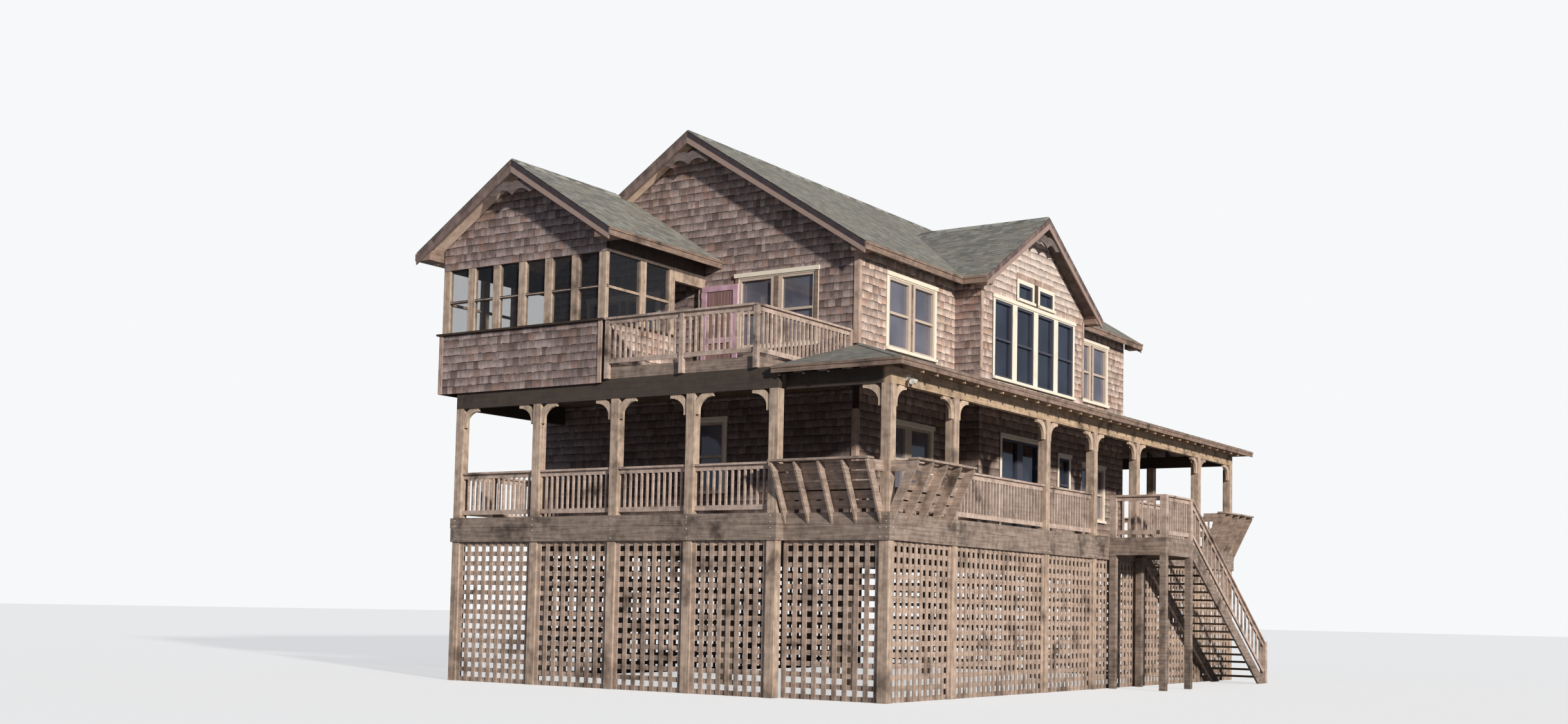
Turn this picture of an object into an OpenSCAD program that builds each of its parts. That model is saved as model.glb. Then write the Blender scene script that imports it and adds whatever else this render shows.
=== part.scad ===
/* [Deck] */
// Height of the deck boards above the ground
deck_h = 3300; // [3000:50:3600]
// Length of the deck from front rim to rear rim
deck_len = 17810; // [17600:10:18200]
// Width of the right-hand deck, from the wall to the rim
side_deck = 2560; // [2480:10:2700]
// Depth of the rear deck, from the wall to the rim
rear_deck = 1290; // [1200:10:1400]
// How far the left end of the front deck stands inside the left wall
left_in = 430; // [380:10:500]
// How far the left part of the front rim stands forward of the right part
jog = 235; // [220:5:260]
// Height of the upper rim board
rim_upper = 203; // [180:1:220]
// Height of the lower rim board
rim_lower = 283; // [250:1:300]
// Thickness of the rim boards
rim_t = 40; // [35:1:50]
// Set-back of the lower rim board behind the upper one
rim_step = 8; // [4:1:14]
// Thickness of the deck boards
deck_t = 40; // [30:1:50]

/* [Posts and beams] */
// Side of the square timber posts
post_w = 190; // [170:5:210]
// Clear height under the porch beams
beam_clear = 2250; // [2200:10:2280]
// Height of the porch beams
beam_h = 290; // [260:5:300]
// Width of the porch beams
beam_w = 110; // [90:5:140]
// Width of the sawn brackets under the beams
bracket_w = 400; // [380:10:420]
// Height of the sawn brackets
bracket_h = 390; // [370:5:400]
// Thickness of the sawn brackets
bracket_t = 60; // [40:5:80]
// Side of the square newel posts of the landing
newel_w = 140; // [120:5:160]
// Side of the slim posts of the balcony
slim_w = 90; // [80:5:100]

/* [Main house] */
// Width of the main house over its walls
main_w = 8140; // [8000:10:8200]
// Distance from the right part of the front rim to the front wall
main_front = 3030; // [2980:10:3080]
// Thickness of the outside walls
wall_t = 150; // [130:5:180]
// Height of the upper floor above the deck
upper_floor_h = 2862; // [2840:1:2880]
// Height of the main eaves above the deck
eave_h = 5495; // [5470:5:5530]
// Rise of the main roofs for each unit of run
roof_rise = 0.635; // [0.61:0.005:0.66]
// Overhang of the main roof past the side walls
eave_over = 350; // [320:10:400]
// Overhang of the main roof past the gable walls
rake_over = 375; // [320:5:420]
// Thickness of the roof slabs, measured upright
roof_t = 170; // [150:5:190]
// Height of the ridge caps above the roof surface
ridge_up = 22; // [15:1:30]
// Width of each half of the ridge caps
ridge_half = 150; // [120:5:180]
// Projection of the two-storey bay past the right wall
bay_out = 620; // [560:10:680]
// Width of the bay over its walls
bay_w = 5430; // [5350:10:5500]
// Distance from the middle of the deck to the middle of the bay
bay_shift = 880; // [840:10:920]
// Rise of the bay roof for each unit of run
bay_rise = 0.605; // [0.59:0.005:0.62]
// Overhang of the bay roof past its gable
bay_rake = 340; // [300:5:380]

/* [Gable trim] */
// Thickness of the rake and fascia boards
trim_t = 28; // [20:1:40]
// Height of the rake boards, measured upright
rake_h = 245; // [210:5:270]
// How far the rake boards start below the roof surface
rake_drop = 22; // [10:1:35]
// Half width of the scalloped board in each gable
scallop_half = 720; // [680:10:760]
// Height of the scalloped boards at their middle
scallop_h = 250; // [240:5:280]
// Drop of the scalloped boards below the underside of the roof's peak
scallop_drop = 230; // [210:5:250]
// Radius of each scallop
scallop_r = 140; // [120:5:150]
// Width of the corner boards
corner_w = 95; // [80:5:120]
// Thickness of the corner boards
corner_t = 22; // [15:1:30]
// Height of the board over the transoms of the bay
over_board = 140; // [110:5:170]

/* [Windows] */
// Width of the window casings
casing_w = 90; // [70:5:110]
// How far the casings stand proud of the wall
casing_t = 28; // [20:1:40]
// Width of the sash rails and stiles
sash_w = 52; // [40:2:70]
// Depth of the sashes inside the wall
sash_t = 45; // [35:1:60]
// Width of the mullion between paired windows
mullion_w = 170; // [140:5:200]
// Height of the sill boards
sill_h = 62; // [50:2:80]
// How far the sills stand proud of the wall
sill_out = 75; // [60:5:90]
// Height of the head boards over the windows
head_h = 84; // [60:2:110]
// How far the head boards stand proud of the wall
head_out = 55; // [35:5:70]
// Thickness of the glass
glass_t = 8; // [6:1:12]

/* [Screened porch] */
// How far the screened porch stands past the left wall
screen_out = 20; // [0:5:60]
// Distance from the main ridge line to the right side of the screened porch
screen_right = 290; // [250:10:330]
// How far the screened porch stands forward of the right part of the front rim
screen_fwd = 195; // [180:5:210]
// Height of the parapet under the screens, above the upper floor
parapet_h = 930; // [900:5:980]
// Drop of the parapet below the upper floor
parapet_drop = 290; // [270:5:305]
// Thickness of the parapet
parapet_t = 100; // [90:5:120]
// Width of the uprights between the screens
screen_post = 180; // [160:5:190]
// Depth of the uprights between the screens
screen_depth = 100; // [90:5:120]
// Height of the middle rail of the screens above the upper floor
screen_mid_h = 1600; // [1500:10:1700]
// Height of the screen openings' head above the upper floor
screen_head = 2303; // [2250:1:2320]
// Clear width of the doorway in the side of the screened porch
door_w = 940; // [880:10:980]
// Thickness of the screen door
door_t = 42; // [35:1:50]
// Overhang of the screened porch roof past its sides
screen_eave = 400; // [350:10:430]
// Overhang of the screened porch roof past its gable
screen_rake = 430; // [380:10:460]

/* [Balcony] */
// How far the right edge of the balcony stands inside the right wall
balcony_in = 110; // [80:10:170]
// Height of the balcony rim board
balcony_rim_h = 221; // [200:1:240]
// Height of the balcony railing above the upper floor
balcony_rail = 960; // [920:5:1050]

/* [Porch roof] */
// Height of the porch eaves above the deck
porch_eave = 2635; // [2620:5:2660]
// Height above the deck where the porch roof meets the walls
porch_top = 3550; // [3530:5:3560]
// Thickness of the porch roof, measured upright
porch_t = 100; // [85:5:110]
// Overhang of the porch roof past the right rim
porch_over = 355; // [320:5:400]
// Overhang of the porch roof past the front rim
porch_over_front = 305; // [280:5:340]
// Spacing of the rafter tails
rafter_pitch = 520; // [450:10:600]
// Thickness of the rafter tails
rafter_t = 40; // [30:1:50]

/* [Lattice and rails] */
// Width of a lattice slat
slat_w = 90; // [80:1:100]
// Thickness of a lattice slat
slat_t = 22; // [15:1:25]
// Spacing of the lattice slats
slat_pitch = 193; // [185:1:205]
// Height of the porch railing above the deck
rail_h = 932; // [880:1:1000]
// Width of the railing caps
cap_w = 140; // [110:5:150]
// Thickness of the railing caps
cap_t = 38; // [30:1:45]
// Thickness of the railing's rails
rail_t = 38; // [30:1:45]
// Height of the railing's rails
rail_deep = 90; // [80:5:100]
// Gap under the bottom rail
rail_foot = 70; // [50:5:90]
// Side of the square balusters
baluster_w = 38; // [30:1:42]
// Spacing of the balusters
baluster_pitch = 130; // [120:1:140]

/* [Benches] */
// Lean of the bench backs away from upright, in degrees
bench_lean = 26; // [22:1:30]
// Height of the bench backs above the deck
bench_rise = 890; // [850:5:930]
// Width of the bench ribs
rib_w = 185; // [160:5:200]
// Thickness of the bench ribs and boards
rib_t = 40; // [35:1:45]
// Height of the seat above the deck
seat_h = 440; // [420:5:460]
// Depth of the seat
seat_d = 420; // [400:10:450]

/* [Landing and stair] */
// Width of the stair landing beyond the rim
landing_w = 1290; // [1200:10:1350]
// Length of the stair landing
landing_len = 1650; // [1550:10:1700]
// Number of risers in the stair
risers = 18; // [17:1:19]
// Going of each tread
tread_go = 292; // [280:1:300]
// Thickness of the treads and stringers
tread_t = 45; // [40:1:55]
// Depth of the stringers, measured upright
stringer_h = 330; // [300:5:360]

/* [Hidden] */

// Shares of the left part of the front that its post bays take, from the jog leftward
front_shares = [0.24, 0.233, 0.256, 0.271];
// Length of the bench bay at the right end of the front
bench_bay = 1970;
// Bench bays and long bays along the right side; the two bays in its middle take the rest
end_bay = 2350;
long_bay = 4000;
// Numbers of bays along the rear and the left side
rear_bays = 5;
left_bays = 5;
// Left edges of the two rows of inner pilings, and their spacing
piling_rows = [-post_w / 2, 3000];
piling_step = 4400;
// Joint that lets the deck boards pass the posts
notch_gap = 3;
// Step that keeps cutting shapes clear of the faces they cut
eps = 1;
// Set-back of the lattice behind the faces of the posts
lattice_set = 40;

y_front = -deck_len / 2;
y_rear = deck_len / 2;
y_left_rim = y_front - jog;
x_wall = main_w / 2;
deck_right = x_wall + side_deck;
deck_left = x_wall - left_in;
y_wall = y_front + main_front;
y_back = y_rear - rear_deck;
main_len = y_back - y_wall;
x_bay = x_wall + bay_out;
y_bay0 = bay_shift - bay_w / 2;
y_bay1 = bay_shift + bay_w / 2;
rim_h = rim_upper + rim_lower;
lattice_h = deck_h - rim_h;
beam_z = deck_h + beam_clear;
floor_z = deck_h + upper_floor_h;
eave_z = deck_h + eave_h;
ridge_z = eave_z + roof_rise * (x_wall + eave_over);
side_top = ridge_z - roof_t - roof_rise * x_wall;
bay_ridge_z = eave_z + bay_rise * (bay_w / 2 + eave_over);
x_post = deck_right - rim_t - post_w;
jog_x = x_post - bench_bay - rim_t;
left_step = (main_len - post_w) / left_bays;
rear_step = (x_post + x_wall - rim_t) / rear_bays;
y_post = y_left_rim + rim_t;
// Outer face of the rim's return at the jog
jog_end = jog_x + rim_t;
mid_bay = (deck_len - post_w) / 2 - rim_t - end_bay - long_bay;
side_bays = [end_bay, long_bay, mid_bay, mid_bay, long_bay, end_bay];
front_bays = [for (share = front_shares) share * (jog_x - post_w + deck_left - rim_t)];

screen_w = screen_right + x_wall + screen_out;
screen_left = screen_right - screen_w;
screen_mid = screen_right - screen_w / 2;
y_screen = y_front - screen_fwd;
y_parapet = y_screen - 55;
y_floor0 = y_parapet + parapet_t;
floor_low = floor_z - balcony_rim_h;
balcony_right = x_wall - balcony_in;
beam_top = beam_z + beam_h;
screen_eave_z = eave_z + 25;
screen_ridge_z = screen_eave_z + roof_rise * (screen_w / 2 + screen_eave);
screen_side_top = screen_eave_z + roof_rise * screen_eave - roof_t;
screen_z0 = floor_z + parapet_h + cap_t;
screen_z1 = floor_z + screen_head;
// Edges of the uprights in the right side of the screened porch, from its front corner
y_jamb = y_wall - screen_post / 2;
y_door = y_jamb - door_w;
screen_side_posts = [y_screen + 1080, y_door - screen_post];

porch_x = deck_right + porch_over;
porch_z0 = deck_h + porch_eave;
porch_z1 = deck_h + porch_top;
porch_y0 = y_front - porch_over_front;
porch_y1 = y_rear + porch_over;
porch_slope = (porch_z1 - porch_z0) / (porch_x - x_wall);
porch_left = balcony_right + 340;

landing_y = y_front + rim_t + side_bays[0] + side_bays[1] + side_bays[2] + post_w + 600;
riser_h = deck_h / risers;
stair_y = landing_y + landing_len;
stair_x0 = deck_right + 80;
stair_x1 = deck_right + landing_w;

function sums(v, n) = n <= 0 ? 0 : v[n - 1] + sums(v, n - 1);
// Left edges of the front posts, corner post first
front_post_x = concat([x_post], [for (i = [0 : len(front_bays)]) jog_x - post_w - sums(front_bays, i)]);
// Front edges of the right-side posts, corner post first
side_post_y = [for (i = [0 : len(side_bays)]) y_front + rim_t + sums(side_bays, i)];

// Distance from the ends of the side walls to the middles of their end windows
end_window = 2120;
// How much nearer the lower end windows of the right side are
low_shift = 60;
// Spacing of the four tall windows of the bay
bay_step = bay_w / 5;
// Windows as middle, sill and head above the deck, clear width and number of lights;
// the middles run along x in the front and rear walls and along y in the others
front_windows = [[x_wall - 1955, 3640, 5080, 1870, 2], [520, 700, 2130, 700, 1]];
porch_doors = [[screen_mid, upper_floor_h + sill_h, 4900, 1850, 2]];
rear_windows = [[-2200, 3640, 5080, 1870, 2], [2200, 3640, 5080, 1870, 2],
                [-2200, 700, 2060, 1870, 2], [2200, sill_h, 2100, 1870, 2]];
right_front_windows = [[y_wall + end_window, 3640, 5080, 1920, 2],
                       [y_wall + end_window - low_shift, 700, 2090, 1920, 2]];
right_rear_windows = [[y_back - end_window, 3690, 5130, 1870, 2],
                      [y_back - end_window + low_shift, 700, 2000, 1500, 2]];
left_windows = [for (y = [y_wall + end_window, bay_shift, y_back - end_window]) for (z = [700, 3640])
                    [y, z, z + 1440, 1870, 2]];
// The four tall windows share one sill and one head board
bay_tall = [for (i = [-1.5 : 1.5]) [bay_shift + i * bay_step, 3460, 5160, 860, 1]];
bay_transoms = [for (i = [-0.5, 0.5]) [bay_shift + i * bay_step, 5360, 5710, 700, 0]];
bay_low = [[bay_shift - bay_step * 2 / 3, sill_h, 2140, 1850, 2],
           [bay_shift + bay_step * 3 / 2, 700, 1960, 560, 1]];
bay_windows = concat(bay_tall, bay_transoms, bay_low);

module span(a, b) {
    translate(a) cube([b[0] - a[0], b[1] - a[1], b[2] - a[2]]);
}

// A timber post standing on the ground
module post(x, y, top) {
    translate([x, y, 0]) cube([post_w, post_w, top]);
}

// Plate of an outline drawn in x and z, standing with its front face at y
module gable_plate(y, t) {
    translate([0, y + t, 0]) rotate([90, 0, 0]) linear_extrude(t) children();
}

// Plate of an outline drawn in y and z, standing with its left face at x
module side_plate(x, t) {
    translate([x, 0, 0]) rotate([90, 0, 90]) linear_extrude(t) children();
}

module front_posts() {
    color("#9a8b74") {
        post(x_post, side_post_y[0], beam_z);
        for (i = [1 : len(front_post_x) - 1]) post(front_post_x[i], y_post, beam_z);
    }
}

module right_posts() {
    color("#9a8b74") for (i = [1 : len(side_post_y) - 1]) post(x_post, side_post_y[i], beam_z);
}

module rear_posts() {
    color("#8b7d68") for (i = [1 : rear_bays]) post(x_post - i * rear_step, side_post_y[6], beam_z);
}

module pilings() {
    color("#8b7d68") {
        for (i = [0 : left_bays]) post(-x_wall, y_wall + i * left_step, lattice_h);
        for (x = piling_rows) for (i = [-1 : 1]) post(x, i * piling_step - post_w / 2, lattice_h);
    }
}

// Two rim boards, one above the other, along a line of the deck's edge
module rim_ring(z, h, set) {
    span([jog_end, y_front + set, z], [deck_right - set, y_front + rim_t, z + h]);
    span([deck_right - rim_t, y_front + rim_t, z], [deck_right - set, y_rear - rim_t, z + h]);
    span([-x_wall + set, y_rear - rim_t, z], [deck_right - set, y_rear - set, z + h]);
    span([-x_wall + set, y_back, z], [-x_wall + rim_t, y_rear - rim_t, z + h]);
    span([-deck_left + set, y_left_rim + set, z], [jog_end - set, y_left_rim + rim_t, z + h]);
    span([jog_x, y_left_rim + rim_t, z], [jog_end - set, y_front + rim_t, z + h]);
    span([jog_end - set, y_front + set, z], [jog_end, y_front + rim_t, z + h]);
    span([-deck_left + set, y_left_rim + rim_t, z], [-deck_left + rim_t, y_wall, z + h]);
}

module rim_boards() {
    color("#7c6b58") {
        rim_ring(lattice_h, rim_lower, rim_step);
        rim_ring(lattice_h + rim_lower, rim_upper, 0);
    }
}

module deck_outline() {
    difference() {
        union() {
            translate([-deck_left + rim_t, y_left_rim + rim_t])
                square([jog_x - rim_t + deck_left, y_wall - y_left_rim - rim_t]);
            translate([jog_x - rim_t, y_front + rim_t])
                square([deck_right - jog_x, deck_len - 2 * rim_t]);
            translate([-x_wall + rim_t, y_back]) square([main_w, y_rear - rim_t - y_back]);
        }
        translate([-x_wall - eps, y_wall]) square([main_w + eps, main_len]);
        translate([x_wall - eps, y_bay0]) square([bay_out + eps, bay_w]);
    }
}

module post_notch(x, y) {
    translate([x - notch_gap, y - notch_gap]) square(post_w + 2 * notch_gap);
}

module deck_floor() {
    color("#8f8272") translate([0, 0, deck_h - deck_t]) linear_extrude(deck_t) difference() {
        deck_outline();
        post_notch(x_post, side_post_y[0]);
        for (i = [1 : len(front_post_x) - 1]) post_notch(front_post_x[i], y_post);
        for (y = side_post_y) post_notch(x_post, y);
        for (i = [1 : rear_bays]) post_notch(x_post - i * rear_step, side_post_y[6]);
    }
}

module main_floor() {
    color("#7c6b58") {
        span([-x_wall, y_wall, lattice_h], [x_wall, y_back, deck_h]);
        span([x_wall, y_bay0, lattice_h], [x_bay, y_bay1, deck_h]);
    }
}

// Square lattice of upright slats nailed over cross slats, between two ends, drawn along x
module lattice(length) {
    n = floor((length - slat_w) / slat_pitch);
    step = (length - slat_w) / n;
    for (i = [0 : n]) translate([i * step, 0, 0]) cube([slat_w, slat_t, lattice_h]);
    m = floor((lattice_h - slat_w) / slat_pitch);
    rise = (lattice_h - slat_w) / m;
    for (j = [0 : m]) translate([0, slat_t, j * rise]) cube([length, slat_t, slat_w]);
}

// Lattice panels between the posts of each side, counted from the right front corner
module front_lattice(i) {
    x0 = front_post_x[i + 1] + post_w;
    y = i == 0 ? side_post_y[0] : y_post;
    translate([x0, y + lattice_set, 0]) lattice(front_post_x[i] - x0);
}

module right_lattice(i) {
    y0 = side_post_y[i] + post_w;
    translate([deck_right - rim_t - lattice_set, y0, 0]) rotate([0, 0, 90])
        lattice(side_post_y[i + 1] - y0);
}

module left_lattice(i) {
    y0 = y_wall + i * left_step + post_w;
    translate([-x_wall + lattice_set, y0 + left_step - post_w, 0]) rotate([0, 0, -90])
        lattice(left_step - post_w);
}

module rear_lattice(i) {
    x0 = x_post + post_w - (i + 1) * rear_step;
    translate([x0 + rear_step - post_w, side_post_y[6] + post_w - lattice_set, 0]) rotate([0, 0, 180])
        lattice(rear_step - post_w);
}

module lattice_front_left() { color("#a08f78") for (i = [3, 4]) front_lattice(i); }
module lattice_front_mid() { color("#a08f78") for (i = [1, 2]) front_lattice(i); }
module lattice_front_right() { color("#a08f78") front_lattice(0); }
module lattice_right_front() { color("#a08f78") for (i = [0, 1]) right_lattice(i); }
module lattice_right_mid() { color("#a08f78") for (i = [2, 3]) right_lattice(i); }
module lattice_right_rear() { color("#a08f78") for (i = [4, 5]) right_lattice(i); }
module lattice_left_front() { color("#a08f78") for (i = [0, 1]) left_lattice(i); }
module lattice_left_rear() { color("#a08f78") for (i = [2 : left_bays - 1]) left_lattice(i); }
module lattice_rear_right() { color("#a08f78") for (i = [0, 1]) rear_lattice(i); }
module lattice_rear_left() { color("#a08f78") for (i = [2 : rear_bays - 1]) rear_lattice(i); }

module porch_beams() {
    x_b = deck_right - rim_t;
    y_b = side_post_y[6] + post_w;
    x_l = front_post_x[5];
    color("#857560") {
        span([x_l, y_post, beam_z], [porch_left, y_post + beam_w, floor_low]);
        span([porch_left, y_post, beam_z], [jog_x, y_post + beam_w, beam_top]);
        span([jog_x, side_post_y[0], beam_z], [x_b, side_post_y[0] + beam_w, beam_z + beam_h]);
        span([x_b - beam_w, side_post_y[0] + beam_w, beam_z], [x_b, y_b, beam_z + beam_h]);
        span([-x_wall, y_b - beam_w, beam_z], [x_b - beam_w, y_b, beam_z + beam_h]);
        span([x_l, y_post + beam_w, beam_z], [x_l + beam_w, y_wall, floor_low]);
    }
}

// Sawn bracket under a beam beside a post: a curved arm with a squared nose and a stepped foot
// that leaves the corner behind it open, drawn in x and z with that corner at 0
module bracket_shape() {
    nose = bracket_h / 6;
    foot = bracket_w / 5;
    arm = 1.5 * foot;
    hollow = [bracket_w - foot, bracket_h - foot - nose];
    difference() {
        translate([0, -bracket_h]) square([bracket_w, bracket_h]);
        translate([bracket_w, -bracket_h + foot]) scale(hollow) circle(r = 1, $fn = 64);
        translate([foot, -bracket_h - eps]) square([bracket_w, foot + eps]);
        difference() {
            translate([-eps, -bracket_h / 2]) square([bracket_w / 2, bracket_h / 2 + eps]);
            translate([bracket_w, -bracket_h + foot]) scale([hollow[0] + arm, hollow[1] + arm])
                circle(r = 1, $fn = 64);
        }
    }
}

module bracket(x, y, turn) {
    translate([x, y, beam_z]) rotate([0, 0, turn]) translate([0, bracket_t / 2, 0])
        rotate([90, 0, 0]) linear_extrude(bracket_t) bracket_shape();
}

module post_brackets() {
    y_b = y_post + beam_w / 2;
    x_b = deck_right - rim_t - beam_w / 2;
    color("#b3a184") {
        for (i = [1 : 5]) {
            if (i > 1) bracket(front_post_x[i] + post_w, y_b, 0);
            if (i < 5) bracket(front_post_x[i], y_b, 180);
        }
        bracket(x_post, side_post_y[0] + beam_w / 2, 180);
        for (i = [0 : 6]) {
            if (i < 6) bracket(x_b, side_post_y[i] + post_w, 90);
            if (i > 0) bracket(x_b, side_post_y[i], -90);
        }
    }
}

// Straight railing along x between two ends, standing on z = 0
module railing(length, height) {
    low = rail_foot + rail_deep;
    high = height - cap_t - rail_deep;
    translate([0, -cap_w / 2, height - cap_t]) cube([length, cap_w, cap_t]);
    translate([0, -rail_t / 2, high]) cube([length, rail_t, rail_deep]);
    translate([0, -rail_t / 2, rail_foot]) cube([length, rail_t, rail_deep]);
    n = floor(length / baluster_pitch) - 1;
    step = length / (n + 1);
    for (i = [1 : n]) translate([i * step - baluster_w / 2, -rail_t / 2, low])
        cube([baluster_w, rail_t, high - low]);
}

module front_railing() {
    color("#94846e") {
        for (i = [1 : 4]) translate([front_post_x[i + 1] + post_w, y_post + post_w / 2, deck_h])
            railing(front_post_x[i] - front_post_x[i + 1] - post_w, rail_h);
        translate([front_post_x[5] + post_w / 2, y_post + post_w, deck_h]) rotate([0, 0, 90])
            railing(y_wall - y_post - post_w, rail_h);
    }
}

module right_railing() {
    color("#94846e") for (i = [1, 2, 4])
        translate([deck_right - rim_t - post_w / 2, side_post_y[i] + post_w, deck_h]) rotate([0, 0, 90])
            railing(side_bays[i] - post_w, rail_h);
}

module rear_railing() {
    color("#94846e") for (i = [0 : rear_bays - 1])
        translate([x_post + post_w - (i + 1) * rear_step, side_post_y[6] + post_w / 2, deck_h])
            railing(rear_step - post_w, rail_h);
}

module landing() {
    x0 = deck_right;
    x1 = stair_x1;
    z0 = lattice_h + rim_upper / 2;
    color("#8f8272") {
        span([x0, landing_y, deck_h - deck_t], [x1, stair_y, deck_h]);
        for (y = [landing_y, stair_y - rim_t]) span([x0, y, z0], [x1, y + rim_t, deck_h - deck_t]);
        span([x1 - rim_t, landing_y + rim_t, z0], [x1, stair_y - rim_t, deck_h - deck_t]);
        for (y = [landing_y, stair_y - newel_w]) for (x = [x0, x1 - newel_w])
            span([x, y, 0], [x + newel_w, y + newel_w, z0]);
    }
}

module landing_railing() {
    color("#94846e") {
        span([deck_right, landing_y, deck_h], [deck_right + newel_w, landing_y + newel_w, deck_h + rail_h]);
        translate([deck_right + newel_w, landing_y + newel_w / 2, deck_h])
            railing(landing_w - 2 * newel_w, rail_h);
    }
}

// Height of the nosing line of the stair at a distance along it
function nosing(y) = deck_h - (y - stair_y) / tread_go * riser_h;
stair_end = stair_y + risers * tread_go;

module stair_stringers() {
    run = (risers - 0.5) * tread_go;
    flat = stringer_h / riser_h * tread_go;
    top = deck_h - riser_h / 2;
    color("#8f8272") for (x = [stair_x0, stair_x1 - tread_t]) side_plate(x, tread_t) polygon([
        [stair_y, top - stringer_h], [stair_y, top], [stair_y + run, 0], [stair_y + run - flat, 0]]);
}

module stair_treads() {
    color("#8f8272") for (i = [1 : risers - 1])
        span([stair_x0 + tread_t, stair_y + (i - 1) * tread_go, deck_h - i * riser_h - tread_t],
             [stair_x1 - tread_t, stair_y + i * tread_go + tread_t / 2, deck_h - i * riser_h]);
}

// Sloped strip of the stair railing between two heights above the nosing line
module stair_strip(x, w, low, high) {
    y0 = stair_y;
    y1 = stair_end - newel_w;
    side_plate(x - w / 2, w) polygon([[y0, nosing(y0) + low], [y0, nosing(y0) + high],
        [y1, nosing(y1) + high], [y1, nosing(y1) + low]]);
}

module stair_railing() {
    x = stair_x1 - newel_w / 2;
    top = rail_h - cap_t;
    low = rail_foot + 2 * rail_deep;
    n = floor((stair_end - newel_w - stair_y) / (2 * baluster_pitch));
    step = (stair_end - newel_w - stair_y) / n;
    y_foot = stair_end - newel_w;
    nib = rail_t / 6;
    color("#94846e") {
        span([stair_x1 - newel_w, landing_y, deck_h], [stair_x1, landing_y + newel_w, deck_h + rail_h]);
        translate([x, landing_y + newel_w, deck_h]) rotate([0, 0, 90])
            railing(landing_len - 2 * newel_w, rail_h);
        span([stair_x1 - newel_w, stair_y - newel_w, deck_h], [stair_x1, stair_y, deck_h + rail_h]);
        stair_strip(x, cap_w, top, rail_h);
        stair_strip(x, rail_t, top - rail_deep, top);
        stair_strip(x, rail_t, low - rail_deep, low);
        for (i = [1 : n - 1]) {
            y = stair_y + i * step;
            side_plate(x - rail_t / 2, rail_t) polygon([[y, nosing(y) + low - nib],
                [y, nosing(y) + top - rail_deep + nib],
                [y + baluster_w, nosing(y + baluster_w) + top - rail_deep + nib],
                [y + baluster_w, nosing(y + baluster_w) + low - nib]]);
        }
        span([stair_x1 - newel_w, y_foot, 0], [stair_x1, stair_end, nosing(y_foot) + rail_h]);
    }
}

bench_ribs = 5;
back_slats = 5;
seat_boards = 3;
// Height of the arm boards at the ends of the benches
arm_h = 190;
// How far the front bench and the other benches reach over the corner posts
front_lap = 60;
side_lap = 160;
// Gaps between the benches' other ends and the posts there
front_gap = 50;
side_gap = 210;
// Gaps between the boards of the benches
board_gap = 28;
// Thickness of the bench boards
board_t = 26;

// Bench with an outward-leaning slatted back, drawn along x and leaning to -y, with y = 0 at the
// face of the rim; its last rib stands in front of a post, so the boards stop short of it
module bench(length, short) {
    s = tan(bench_lean);
    drop = rim_upper;
    function outer(z) = -s * (z + drop);
    function inner(z) = outer(z) + rib_w;
    toe = (rib_w - rim_t) / s - drop;
    arm_z = seat_h - board_t;
    pitch = (bench_rise - rail_foot) / back_slats;
    nib = board_t / 5;
    seat_y = inner(arm_z) + board_t + board_gap;
    seat_w = (seat_d - seat_y + board_gap) / seat_boards - board_gap;
    for (i = [0 : bench_ribs - 1]) translate([i * (length - rib_t) / (bench_ribs - 1), 0, 0])
        rotate([90, 0, 90]) linear_extrude(rib_t) polygon([
            [0, -drop], [outer(bench_rise - rib_t), bench_rise - rib_t],
            [outer(bench_rise) + rib_t, bench_rise], [inner(bench_rise), bench_rise],
            [rim_t, toe], [rim_t, 0], [0, 0]]);
    for (i = [0 : bench_ribs - 1]) translate([i * (length - short - rib_t) / (bench_ribs - 1), 0, 0])
        rotate([90, 0, 90]) linear_extrude(rib_t) polygon([
            [inner(arm_z) + nib, arm_z], [seat_d, arm_z], [seat_d, 0], [seat_d - rail_deep, 0],
            [seat_d - rail_deep, arm_z - rail_deep], [inner(arm_z - rail_deep) + nib, arm_z - rail_deep]]);
    for (k = [0 : back_slats - 1]) rotate([90, 0, 90]) linear_extrude(length - short) {
        z0 = rail_foot + k * pitch;
        z1 = z0 + pitch - board_gap;
        polygon([[inner(z0) - nib, z0], [inner(z1) - nib, z1], [inner(z1) + board_t, z1],
                 [inner(z0) + board_t, z0]]);
    }
    for (k = [0 : seat_boards - 1])
        translate([0, seat_y + k * (seat_w + board_gap), arm_z]) cube([length - short, seat_w, board_t]);
    translate([-board_gap, outer(bench_rise), bench_rise])
        cube([length + 2 * board_gap, rib_w + board_t, cap_t]);
    for (x = [0, length - rib_t])
        translate([x, outer(bench_rise - arm_h) + rib_t, bench_rise - arm_h])
            cube([rib_t, rim_t - outer(bench_rise - arm_h) - rib_t, arm_h]);
}

module front_bench() {
    x0 = jog_x + front_gap;
    color("#a3917a") translate([x0, y_front, deck_h]) bench(x_post + front_lap - x0, front_lap + board_t);
}

module side_bench() {
    color("#a3917a") translate([deck_right, side_post_y[1] - side_gap, deck_h]) rotate([0, 0, 90])
        mirror([1, 0, 0]) bench(side_bays[0] - side_gap - post_w + side_lap, side_lap + board_gap);
}

module rear_bench() {
    color("#a3917a") translate([deck_right, side_post_y[5] + post_w + side_gap, deck_h]) rotate([0, 0, 90])
        bench(side_bays[5] - side_gap - post_w + side_lap, side_lap + board_gap);
}

// Cut-outs of a wall's windows and doors
module holes(list) {
    for (w = list) translate([w[0] - w[3] / 2, deck_h + w[1]]) square([w[3], w[2] - w[1]]);
}

// Outline of the main gable, under the roof slab
module main_gable() {
    polygon([[-x_wall, deck_h], [x_wall, deck_h], [x_wall, side_top], [0, ridge_z - roof_t],
             [-x_wall, side_top]]);
}

module front_wall() {
    color("#9d8670") gable_plate(y_wall, wall_t) difference() {
        main_gable();
        holes(front_windows);
        holes(porch_doors);
    }
}

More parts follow.
